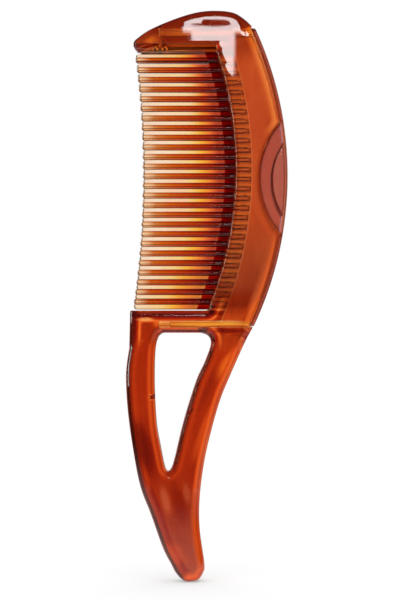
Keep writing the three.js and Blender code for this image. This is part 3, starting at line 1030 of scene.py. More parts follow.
BAR_RIM = PaintedRim(
    84.0,
    (
        (0.0, (0.80, 0.50, 0.25)), (0.4, (0.72, 0.30, 0.05)), (0.75, (0.76, 0.30, 0.05)),
        (1.05, (1.0, 0.58, 0.28)), (1.4, (0.85, 0.37, 0.08)), (1.8, (0.90, 0.44, 0.18)),
        (2.2, (0.65, 0.25, 0.06)), (2.6, (0.52, 0.16, 0.04)), (3.6, (0.60, 0.20, 0.06)),
    ),
    (
        (0.0, (0.34, 0.13, 0.10)), (0.9, (0.42, 0.18, 0.16)), (1.3, (0.25, 0.05, 0.05)),
        (1.9, (0.30, 0.04, 0.04)), (2.4, (0.54, 0.10, 0.03)), (2.9, (0.70, 0.20, 0.05)),
        (3.3, (1.0, 0.56, 0.25)), (3.8, (0.90, 0.40, 0.15)), (4.3, (0.62, 0.18, 0.06)),
        (5.0, (0.66, 0.22, 0.07)),
    ),
)
# Painted highlight: a thin light line along the lip's rounded edge, between dark lines.
PAINTED_LIP_LINE: Stops = (
    (0.0, (0.30, 0.08, 0.07)), (0.2, (0.52, 0.28, 0.23)), (0.4, (0.75, 0.50, 0.42)),
    (0.65, (0.34, 0.10, 0.06)),
)
LOWER_HEAD_RIM = PaintedRim(
    98.0,
    (
        (0.0, (0.36, 0.10, 0.05)), (0.3, (0.38, 0.10, 0.05)), (0.6, (0.84, 0.45, 0.24)),
        (1.2, (0.84, 0.45, 0.24)), (2.0, (0.60, 0.32, 0.22)), (4.0, (0.56, 0.28, 0.20)),
    ),
    (*PAINTED_LIP_LINE, (0.95, (0.38, 0.12, 0.07)), (1.4, (0.50, 0.22, 0.16))),
)
NOTCH_RIM = PaintedRim(
    121.0,
    (
        (0.0, (0.36, 0.10, 0.05)), (0.3, (0.38, 0.10, 0.05)), (0.7, (0.52, 0.22, 0.12)),
        (1.5, (0.66, 0.30, 0.18)), (2.5, (0.66, 0.29, 0.17)), (4.0, (0.66, 0.29, 0.17)),
    ),
    LOWER_HEAD_RIM.unlit,
)
UPPER_HEAD_RIM = PaintedRim(
    159.0,
    (
        (0.0, (0.36, 0.10, 0.05)), (0.3, (0.42, 0.12, 0.05)), (0.6, (1.0, 0.82, 0.46)),
        (1.4, (1.0, 0.78, 0.42)), (2.1, (0.86, 0.52, 0.28)), (3.0, (0.72, 0.36, 0.21)),
    ),
    (*PAINTED_LIP_LINE, (0.95, (0.42, 0.14, 0.08)), (1.4, (0.60, 0.28, 0.18))),
)
CAP_RIM = PaintedRim(
    187.5,
    (
        (0.0, (0.95, 0.52, 0.14)), (0.3, (0.95, 0.52, 0.14)), (2.1, (0.92, 0.48, 0.12)),
        (2.4, (0.30, 0.05, 0.03)), (2.9, (0.50, 0.18, 0.08)),
    ),
    (
        (0.0, (0.18, 0.02, 0.03)), (0.8, (0.26, 0.04, 0.04)), (1.3, (0.45, 0.13, 0.06)),
        (2.3, (0.50, 0.18, 0.08)),
    ),
)
# The frame's colour changes with height and is darkest just above the bar.
FRAME_AMBER = ClearPlastic(
    "frame_amber", (0.004, 0.05, 0.09), (0.86, 0.74, 0.66), 0.009, 0.009, 0.006,
    ShadeAlong.HEIGHT,
    (
        (0.0, (0.70, 0.30, 0.14)), (21.0, (0.66, 0.24, 0.11)), (40.0, (0.64, 0.18, 0.06)),
        (64.0, (0.70, 0.21, 0.06)), (84.0, (0.72, 0.22, 0.06)), (93.0, (0.66, 0.22, 0.06)),
        (97.0, (0.32, 0.07, 0.02)), (100.0, (0.34, 0.08, 0.02)), (104.0, (0.42, 0.18, 0.12)),
        (113.0, (0.54, 0.28, 0.20)), (127.0, (0.65, 0.29, 0.17)), (148.0, (0.68, 0.30, 0.18)),
        (165.0, (0.70, 0.32, 0.19)), (182.0, (0.74, 0.34, 0.19)), (188.0, (0.50, 0.17, 0.06)),
        (200.0, (0.50, 0.17, 0.06)),
    ),
    # Painted rim light and shade, by height.
    (TAIL_RIM, HANDLE_RIM, BAR_RIM, LOWER_HEAD_RIM, NOTCH_RIM, UPPER_HEAD_RIM, CAP_RIM),
    # Painted patches under the rim light: bright glows and dark zones.
    (
        PaintedPatch(-22.0, 189.5, 8.0, 5.0, 0.0, (0.84, 0.48, 0.18), 0.9),
        PaintedPatch(-16.5, 91.6, 4.0, 3.2, 0.0, (0.97, 0.50, 0.18), 0.8),
        PaintedPatch(3.0, 88.6, 5.5, 3.0, 0.0, (0.46, 0.07, 0.04), 0.8),
        PaintedPatch(8.0, 77.5, 3.0, 10.0, 38.0, (1.0, 0.52, 0.16), 0.7),
        PaintedPatch(-0.8, 53.0, 2.6, 15.0, 20.0, (0.95, 0.42, 0.14), 0.5),
        PaintedPatch(-21.5, 46.0, 4.5, 14.0, -16.0, (0.46, 0.08, 0.03), 0.8),
        PaintedPatch(-9.5, 27.0, 3.0, 10.0, -14.0, (0.48, 0.10, 0.03), 0.7),
        PaintedPatch(-1.0, 66.0, 2.4, 14.0, 28.0, (0.55, 0.14, 0.04), 0.8),
    ),
    # Painted glints over the rim light: highlight lines along the runners, pale reflections and a glow on
    # the tail, and dark marks.
    painted_glints=(
        PaintedPatch(0.0, 90.6, 19.0, 1.5, 0.0, (1.0, 0.78, 0.40), 0.9),
        PaintedPatch(-9.0, 193.4, 9.0, 0.7, 0.0, (1.0, 0.60, 0.20), 0.9),
        PaintedPatch(13.0, 193.4, 5.0, 0.7, 0.0, (1.0, 0.60, 0.20), 0.9),
        PaintedPatch(-4.0, 188.2, 16.0, 1.6, 0.0, (0.95, 0.40, 0.10), 0.7),
        PaintedPatch(-23.0, 48.0, 3.6, 13.0, -16.0, (0.40, 0.07, 0.02), 0.8),
        PaintedPatch(-11.5, 9.5, 4.0, 6.0, -20.0, (0.92, 0.36, 0.12), 0.4),
        PaintedPatch(-14.5, 28.5, 2.2, 7.0, -14.0, (0.78, 0.42, 0.32), 0.6),
        PaintedPatch(-7.0, 31.0, 1.8, 5.0, -8.0, (0.72, 0.38, 0.30), 0.5),
        PaintedPatch(-21.5, 92.2, 4.0, 0.9, 0.0, (1.0, 0.85, 0.55), 0.9),
        PaintedPatch(8.2, 91.4, 6.0, 0.8, 0.0, (1.0, 1.0, 0.75), 0.9),
        PaintedPatch(8.2, 88.3, 8.0, 1.0, 0.0, (0.40, 0.08, 0.03), 0.8),
    ),
)
# The strip is dark where it stands out of the mouth; inside the lip its faces that look up or down are
# painted lighter, and painted bright bands mark where the teeth pass.
GUIDE_AMBER = ClearPlastic(
    "guide_amber", (0.03, 0.12, 0.20), (0.90, 0.80, 0.72), 0.010, 0.03, 0.03,
    ShadeAlong.LIP,
    (
        (-4.0, (0.62, 0.06, 0.05)), (-0.4, (0.60, 0.07, 0.05)), (0.3, (0.54, 0.33, 0.15)),
        (6.0, (0.54, 0.33, 0.15)),
    ),
    bend=1.001,
    painted_side_shades=(
        (-4.0, (0.62, 0.06, 0.05)), (-0.4, (0.60, 0.07, 0.05)), (0.3, (1.0, 0.90, 0.80)),
        (6.0, (1.0, 0.90, 0.80)),
    ),
    bands=PaintedToothBands(98.9, 3.38, 1.0, (1.0, 0.95, 0.50)),
)
# The front row is the painted-shade copy of the teeth's honey: browner along its length than the rear row,
# with painted dark edges on faces that look up or down.
FRONT_TOOTH_SHADED_HONEY = ClearPlastic(
    "front_tooth_honey", (0.004, 0.13, 0.26), (0.94, 0.88, 0.80), 0.012, 0.03, 0.02,
    ShadeAlong.LIP,
    (
        (-32.0, (0.86, 0.66, 0.46)), (-27.3, (0.70, 0.32, 0.10)), (-22.6, (0.66, 0.17, 0.012)),
        (-16.0, (0.60, 0.085, 0.004)), (-11.0, (0.46, 0.05, 0.004)), (-5.7, (0.28, 0.02, 0.004)),
        (-0.4, (0.20, 0.012, 0.008)), (0.3, (1.0, 0.98, 0.95)), (5.7, (1.0, 1.0, 1.0)),
        (6.3, (0.88, 0.90, 0.96)),
    ),
    painted_side_shades=(
        (-32.0, (0.60, 0.44, 0.32)), (-30.0, (0.45, 0.20, 0.08)), (-26.8, (0.30, 0.04, 0.004)),
        (-22.6, (0.30, 0.035, 0.002)), (-16.0, (0.16, 0.018, 0.001)), (-8.5, (0.16, 0.006, 0.001)),
        (-5.7, (0.12, 0.003, 0.001)), (-0.4, (0.10, 0.003, 0.001)), (0.3, (1.0, 0.98, 0.95)),
        (6.0, (1.0, 1.0, 1.0)),
    ),
    inner_bend=1.001,
    frost=0.06,
    tip=(0.96, 0.84, 0.68),
)
# The rear row is the painted-light copy of the same honey: pale, with a yellow hot zone and painted bright
# patches, and its faces that look up or down painted darker towards the guide.
REAR_TOOTH_LIT_HONEY = ClearPlastic(
    "rear_tooth_honey", (0.004, 0.13, 0.26), (0.96, 0.92, 0.86), 0.012, 0.03, 0.02,
    ShadeAlong.LIP,
    (
        (-32.0, (0.97, 0.96, 0.95)), (-26.8, (1.0, 1.0, 1.0)), (-22.6, (1.0, 1.0, 0.90)),
        (-19.0, (1.0, 0.90, 0.62)), (-15.6, (1.0, 0.88, 0.42)), (-12.0, (1.0, 0.64, 0.10)),
        (-8.5, (0.92, 0.28, 0.06)), (-7.0, (0.70, 0.15, 0.05)), (-5.7, (0.50, 0.08, 0.04)),
        (-0.4, (0.40, 0.06, 0.04)), (0.3, (1.0, 0.98, 0.95)), (6.0, (1.0, 1.0, 1.0)),
    ),
    # Painted patches: a darker zone low down and bright hot spots higher up.
    painted_patches=(
        PaintedPatch(-3.0, 103.0, 12.0, 12.0, 0.0, (0.85, 0.42, 0.08), 0.5),
        PaintedPatch(-10.0, 168.0, 9.0, 20.0, 0.0, (1.0, 1.0, 0.86), 0.6),
        PaintedPatch(-10.5, 133.0, 6.0, 18.0, 0.0, (1.0, 0.80, 0.68), 0.7),
    ),
    painted_side_shades=(
        (-32.0, (0.60, 0.50, 0.42)), (-29.0, (0.95, 0.88, 0.78)), (-22.6, (0.95, 0.80, 0.55)),
        (-16.0, (0.85, 0.42, 0.10)), (-8.5, (0.60, 0.12, 0.02)), (-0.4, (0.30, 0.03, 0.01)),
        (0.3, (1.0, 0.98, 0.95)), (6.0, (1.0, 1.0, 1.0)),
    ),
    inner_bend=1.001,
)
# The runners are painted in thin stripes by height: bright highlight lines between dark lines.
RUNNER_HONEY = ClearPlastic(
    "runner_honey", (0.002, 0.03, 0.12), (1.0, 0.94, 0.80), 0.010, 0.03, 0.02,
    ShadeAlong.HEIGHT,
    (
        (89.6, (0.50, 0.16, 0.06)), (89.8, (1.0, 0.85, 0.45)), (90.05, (0.45, 0.14, 0.05)),
        (90.4, (1.0, 0.90, 0.40)), (91.1, (1.0, 0.90, 0.40)), (91.3, (0.50, 0.16, 0.06)),
        (91.5, (1.0, 0.90, 0.55)), (191.4, (0.50, 0.14, 0.05)), (191.9, (0.90, 0.60, 0.30)),
        (192.6, (0.95, 0.66, 0.32)), (192.9, (1.0, 0.92, 0.60)), (193.2, (1.0, 0.92, 0.60)),
    ),
)
GRIP_AMBER = ClearPlastic(
    "grip_amber", (0.01, 0.09, 0.12), (0.94, 0.88, 0.86), 0.016, 0.05, 0.03,
    ShadeAlong.HEIGHT, ((0.0, (0.78, 0.60, 0.72)), (200.0, (0.78, 0.60, 0.72))),
    (
        # Painted rim light and shade along the strip's outline.
        PaintedRim(
            0.0,
            (
                (0.0, (0.30, 0.10, 0.05)), (0.35, (0.48, 0.32, 0.24)), (0.9, (0.54, 0.36, 0.28)),
                (1.5, (0.78, 0.60, 0.72)),
            ),
            (
                (0.0, (0.34, 0.12, 0.05)), (0.3, (0.40, 0.16, 0.08)), (0.7, (0.70, 0.52, 0.66)),
                (2.6, (0.78, 0.60, 0.72)),
            ),
        ),
    ),
)
PAD_AMBER = ClearPlastic(
    "pad_amber", (0.01, 0.02, 0.02), (1.0, 0.96, 0.95), 0.016, 0.05, 0.03,
    ShadeAlong.HEIGHT, ((0.0, (1.0, 0.90, 0.80)), (200.0, (1.0, 0.90, 0.80))),
    (
        # Painted rim light and shade along the pad's outline.
        PaintedRim(
            0.0, ((0.0, (0.45, 0.20, 0.17)), (0.3, (0.90, 0.76, 0.68)), (0.8, (1.0, 0.90, 0.80))),
            ((0.0, (0.20, 0.02, 0.01)), (0.4, (0.42, 0.15, 0.12)), (0.8, (1.0, 0.90, 0.80))),
        ),
    ),
)


@dataclass(frozen=True)
class Pocket:
    """A pocket in the middle face of a frame half: its line in plan, grown by a draft, and its depth."""

    line: Callable[[float], Loop]
    depth: float


def rectangle(x0: float, z0: float, x1: float, z1: float) -> Callable[[float], Loop]:
    """The line of a rectangular pocket, as a function of how much it is grown."""
    return lambda grow: [
        (x0 - grow, z0 - grow), (x1 + grow, z0 - grow), (x1 + grow, z1 + grow), (x0 - grow, z1 + grow)
    ]


def circle(x: float, z: float, radius: float) -> Callable[[float], Loop]:
    """The line of a round pocket, as a function of how much it is grown."""
    turns = np.linspace(0, 2 * math.pi, 24, endpoint=False)
    return lambda grow: [
        (x + (radius + grow) * math.cos(t), z + (radius + grow) * math.sin(t)) for t in turns
    ]


@dataclass
class LoopFrame:
    """The frame's two halves: hooked cap, head walls, bottom bar, loop handle and tail."""

    plan: CombPlan
    nose_x: float = -25.7
    nose_radius: float = 2.2
    nose_end: float = 125.0
    cap_profile: tuple[Point, ...] = (
        (-19.9, 0.526), (-11.1, 0.796), (-3.5, 0.957), (2.9, 1.0), (9.2, 0.952), (13.2, 0.785),
        (16.0, 0.598),
    )
    spine_limb: tuple[Point, ...] = (
        (13.3, 0.96), (8.35, 0.832), (4.85, 0.735), (1.5, 0.603), (-1.05, 0.47), (-2.5, 0.33),
        (-2.45, 0.21),
    )
    tail_tip: tuple[Point, ...] = (
        (-0.75, 0.068), (-1.3, 0.034), (-2.9, 0.008), (-5.5, 0.0008), (-7.4, 0.0018), (-9.3, 0.0145),
        (-11.2, 0.041), (-12.5, 0.07),
    )
    tooth_limb: tuple[Point, ...] = (
        (-15.4, 0.135), (-19.6, 0.27), (-23.2, 0.38), (-25.7, 0.523), (-27.7, 0.69), (-28.3, 0.84),
        (-27.2, 0.94),
    )
    bar_corner_x: float = -26.8
    loop_top_x: tuple[float, float] = (-15.2, -2.0)
    loop: tuple[Point, ...] = (
        (-17.1, 0.98), (-18.1, 0.92), (-18.3, 0.79), (-17.6, 0.64), (-16.0, 0.533), (-14.6, 0.458),
        (-13.4, 0.445), (-12.3, 0.458), (-11.1, 0.505), (-8.15, 0.645), (-3.85, 0.803), (-0.65, 0.886),
        (1.45, 0.957), (0.5, 0.988),
    )
    core_depth: float = 3.0
    core_height: float = 5.6
    core_drop: float = 0.6
    core_top_x: tuple[float, float] = (5.0, 12.6)
    core_bottom_x: tuple[float, float] = (3.8, 8.4)
    cap_pegs_x: tuple[float, float] = (-18.1, -14.8)
    cap_peg_rise: float = 2.6
    bar_peg_x: float = -22.0
    handle_pegs: tuple[Point, ...] = ((-21.0, 0.74), (-4.2, 0.68), (-10.8, 0.25))
    tail_share: float = 0.36
    mouth_margin: float = 0.6
    seam: float = 0.02
    strip_gap: float = 0.1
    under_run: float = 2.4
    under_drop: float = 5.0
    draft: float = 0.06

    def handle(self, points: Sequence[Point]) -> Loop:
        """Points given by X and share of the handle's length."""
        return [(x, share * self.plan.handle_length) for x, share in points]

    def rim_x(self, z: float) -> float:
        """X of the halves' edge beside the spine strip and round the finger notch."""
        plan = self.plan
        rim = plan.spine.x_at(z, -plan.strip_width - plan.fit_gap)
        arc, low, high = plan.notch
        return min(rim, arc.x_at(z)) if low < z < high else rim

    def outer(self) -> Outline:
        """Outline of the halves, clockwise from the cap's underside."""
        plan = self.plan
        cap = [(x, plan.cap_underside + share * plan.cap_height) for x, share in self.cap_profile]
        radius = self.nose_radius
        nose = (self.nose_x + radius, plan.cap_underside + radius)
        turns = np.radians(np.linspace(270, self.nose_end, 16))
        tip = [(nose[0] + radius * math.cos(t), nose[1] + radius * math.sin(t)) for t in turns]
        rim_high, rim_low = plan.strip_top + self.strip_gap, plan.strip_bottom - self.strip_gap
        rim = [(self.rim_x(z), float(z)) for z in np.linspace(rim_high, rim_low, 240)]
        limb_start = (plan.spine_x[0], plan.strip_bottom)
        limb = spline([limb_start, *self.handle([*self.spine_limb, *self.tail_tip, *self.tooth_limb])])
        limb = [p for p in limb if p[1] < rim_low]
        tail_top = self.tail_share * plan.handle_length
        outline = Outline()
        under = np.linspace(plan.lip_x[2], nose[0], 30)
        outline.draw([(float(x), plan.cap_underside) for x in under], EdgeRound.SQUARE)
        outline.draw([*tip, *spline([tip[-1], *cap])[1:]], EdgeRound.CAP)
        outline.draw(rim, EdgeRound.CRISP)
        for point in limb:
            outline.draw([point], EdgeRound.TAIL if point[1] < tail_top else EdgeRound.LIMB)
        outline.draw([(self.bar_corner_x, plan.bar_top), (plan.lip_x[0], plan.bar_top)], EdgeRound.BAR)
        return outline.draw(plan.lip.walk(plan.bar_top, plan.cap_underside), EdgeRound.LIP)

    def opening(self) -> Outline:
        """Outline of the finger loop."""
        left, right = self.loop_top_x
        top = self.plan.handle_length
        outline = Outline(ease=0.6)
        outline.draw([(right, top), (left, top)], EdgeRound.BAR)
        rest = spline([(left, top), *self.handle(self.loop), (right, top)])
        return outline.draw(rest[1:-1], EdgeRound.LIMB)

    def cavity(self, grow: float) -> Loop:
        """Line of the space in the head, open at the mouth and at the spine."""
        plan, lip = self.plan, self.plan.lip
        low, high = plan.plate_bottom - plan.fit_gap - grow, plan.plate_top + plan.fit_gap + grow
        mouth_low, mouth_high = plan.bar_top - grow, plan.cap_underside + grow
        beyond = plan.spine_x[1] + plan.wall
        inner = plan.guide_inside - grow
        return [
            (plan.lip_x[0] - self.mouth_margin, mouth_low),
            *lip.walk(mouth_low, low, inner, 4),
            (beyond, low),
            (beyond, high),
            *lip.walk(high, mouth_high, inner, 4),
            (plan.lip_x[2] - self.mouth_margin, mouth_high),
        ]

    def pockets(self) -> list[Pocket]:
        """Pockets that both halves have."""
        plan, gap = self.plan, self.plan.fit_gap
        beyond = plan.spine_x[1] + plan.wall
        stop = plan.runner_left_x + plan.runner_head_length + plan.travel + gap
        wide, narrow = plan.runner_head_width / 2 + gap, plan.runner_width / 2 + gap
        result = [Pocket(self.cavity, plan.cavity_half)]
        for base, end in ((plan.plate_top, stop), (plan.strip_bottom, beyond)):
            low, high = base - gap, base + plan.runner_height + gap
            result.append(Pocket(rectangle(plan.runner_left_x - gap, low, end, high), wide))
            result.append(Pocket(rectangle(plan.runner_left_x, low, beyond, high), narrow))
        core_top = plan.handle_length - self.core_drop
        core_low = core_top - self.core_height
        (low_left, low_right), (top_left, top_right) = self.core_bottom_x, self.core_top_x
        result.append(Pocket(lambda grow: [
            (low_left - grow, core_low - grow), (low_right + grow, core_low - grow),
            (top_right + grow, core_top + grow), (top_left - grow, core_top + grow),
        ], self.core_depth))
        return result

    def peg_places(self) -> Loop:
        """Where the pegs between the halves stand."""
        plan = self.plan
        cap = [(x, plan.cap_underside + self.cap_peg_rise) for x in self.cap_pegs_x]
        bar = (self.bar_peg_x, plan.handle_length + plan.bar_height / 2)
        return [*cap, bar, *self.handle(self.handle_pegs)]

    def thickness(self, z: np.ndarray) -> np.ndarray:
        """Half the frame's thickness at each height."""
        plan = self.plan
        up = np.clip(z / plan.bar_top, 0, 1)
        limb = plan.tail_thickness + (plan.limb_thickness - plan.tail_thickness) * up
        neck = np.clip((z - plan.bar_top + plan.neck_length) / plan.neck_length, 0, 1)
        neck = neck * neck * (3 - 2 * neck)
        return (limb + (plan.head_thickness - limb) * neck) / 2

    def build(self) -> list[bpy.types.Object]:
        """Models both halves and dresses them.

        Returns:
            The front half and the rear half.
        """
        plan = self.plan
        pockets = self.pockets()
        radius, places = plan.peg_diameter / 2, self.peg_places()
        pegs, sockets = (
            [Pocket(circle(x, z, radius + gap), plan.peg_length + gap) for x, z in places]
            for gap in (0.0, plan.fit_gap)
        )
        cuts = [p.line(grow) for p in [*pockets, *sockets, *pegs] for grow in (-self.draft, self.draft)]
        outlines = [self.outer(), self.opening()]
        sheet = PlanSheet(outlines, cuts)
        under = rectangle(
            self.nose_x + self.nose_radius, plan.cap_underside + plan.fit_gap,
            plan.lip_x[2], plan.cap_underside + self.under_run,
        )
        skin = PlanSheet(outlines, [under(-self.draft), under(self.draft)], border=sheet.border())
        front_inner = self.depths(sheet, [*pockets, *sockets])
        rear_inner = self.depths(sheet, pockets) - self.depths(sheet, pegs) + self.seam
        hollow = (self.depths(sheet, pockets[:-1]) > self.seam).astype(float)
        finish = FRAME_AMBER.material()
        halves = []
        for side, name, inner in ((-1, "front", front_inner), (1, "rear", rear_inner)):
            face, border = (side * self.face(part, side < 0) for part in (skin, sheet))
            bm = body_between(skin, face, sheet, side * inner, border, hollow)
            piece = as_object(bm, f"{name}_frame_half")
            dress(piece, "frame", finish, "frame_amber", f"{name}_shell")
            halves.append(piece)
        return halves

    def face(self, sheet: PlanSheet, front: bool) -> np.ndarray:
        """How far out each point of a half's face lies, with the chamfer under the front half's cap."""
        x, z = sheet.points.T
        share = np.clip(1 - (z - self.plan.cap_underside) / self.under_run, 0, 1)
        chamfered = front & (x < self.plan.lip_x[2]) & (z > self.plan.cap_underside - self.plan.wall)
        chamfer = np.where(chamfered, share * self.under_drop, 0.0)
        return self.thickness(z) - np.maximum(sheet.lowering, chamfer)

    def depths(self, sheet: PlanSheet, pockets: list[Pocket]) -> np.ndarray:
        """How far in from the middle plane each point of the sheet lies, by the deepest pocket there."""
        result = np.full(len(sheet.points), self.seam)
        for pocket in pockets:
            within = inside(sheet.points, np.array(pocket.line(0.0)))
            result = np.where(within, np.maximum(result, pocket.depth), result)
        return result


@dataclass
class ToothGuide:
    """The slotted strip in the mouth that lets the teeth through."""

    plan: CombPlan
    columns: int = 8
    edge: float = 0.1
    sharp: float = 20.0
    upright: float = 0.9
    close: float = 0.01
    central: float = 0.5
    bevelled: float = 40.0

    def build(self) -> bpy.types.Object:
        """Models the strip with its ribs and tenons and dresses it.

        Returns:
            The guide.
        """
        plan = self.plan
        floor = plan.row_y - plan.tooth_root / 2 - plan.channel_clearance
        rows = self.rows()
        bm = bmesh.new()
        grid = [[bm.verts.new((x * MM, floor * MM, z * MM)) for x in self.across(z)] for z in rows]
        for low, high in zip(grid, grid[1:]):
            for a, b, c, d in zip(low, low[1:], high[1:], high):
                bm.faces.new((a, b, c, d))
        self.raise_faces(bm, bm.faces[:], (0, -2 * floor, 0))
        bmesh.ops.recalc_face_normals(bm, faces=bm.faces[:])
        for side, rear in ((-1, False), (1, True)):
            heights = np.array(plan.row_heights(rear))
            ribs = [
                f for f in bm.faces
                if f.normal.y * side > self.upright
                and np.abs(heights - f.calc_center_median().z / MM).min() > plan.channel_width / 2
            ]
            self.raise_faces(bm, ribs, (0, side * (plan.plate_half - floor), 0))
        self.add_tenons(bm)
        bmesh.ops.recalc_face_normals(bm, faces=bm.faces[:])
        least = math.radians(self.bevelled)
        edges = [e for e in bm.edges if e.is_manifold and e.calc_face_angle(0) > least]
        bmesh.ops.bevel(
            bm, geom=edges, offset=self.edge * MM, affect="EDGES", segments=2, profile=0.5, material=-1,
            clamp_overlap=True,
        )
        piece = as_object(bm, "tooth_guide_strip", self.sharp)
        return dress(piece, "frame", GUIDE_AMBER.material(), "guide_amber", "tooth_guide")

    def rows(self) -> list[float]:
        """Heights where a rib starts or ends, on either side."""
        plan = self.plan
        low, high = plan.bar_top + plan.fit_gap, plan.cap_underside - plan.fit_gap
        half = plan.channel_width / 2
        marks = [z + s * half for rear in (False, True) for z in plan.row_heights(rear) for s in (-1, 1)]
        return sorted({round(z, 4) for z in [low, high, *marks] if low <= z <= high})

    def across(self, z: float) -> list[float]:
        """X of the strip's columns at a height."""
        lip = self.plan.lip
        start, end = lip.x_at(z, -self.plan.guide_proud), lip.x_at(z, self.plan.guide_inside)
        return [float(x) for x in np.linspace(start, end, self.columns + 1)]

    @staticmethod
    def raise_faces(
        bm: bmesh.types.BMesh, faces: list[bmesh.types.BMFace], by: tuple[float, float, float]
    ) -> None:
        """Extrudes faces by a vector in millimetres."""
        grown = bmesh.ops.extrude_face_region(bm, geom=faces)
        moved = [v for v in grown["geom"] if isinstance(v, bmesh.types.BMVert)]
        bmesh.ops.translate(bm, verts=moved, vec=Vector(by) * MM)

    def add_tenons(self, bm: bmesh.types.BMesh) -> None:
        """Extrudes the middle of the strip's two ends into tenons."""
        plan = self.plan
        for end, side in ((plan.bar_top + plan.fit_gap, -1), (plan.cap_underside - plan.fit_gap, 1)):
            left = plan.lip.x_at(end) + plan.tenon_setback
            right = left + plan.tenon_depth
            ends = [f for f in bm.faces if f.normal.z * side > self.upright]
            faces = [
                f for f, (x, y, z) in ((f, f.calc_center_median() / MM) for f in ends)
                if abs(z - end) < self.close and abs(y) < self.central and left < x < right
            ]
            self.raise_faces(bm, faces, (0, 0, side * (plan.tenon_length + plan.fit_gap)))
            bmesh.ops.delete(bm, geom=[f for f in faces if f.is_valid], context="FACES_ONLY")


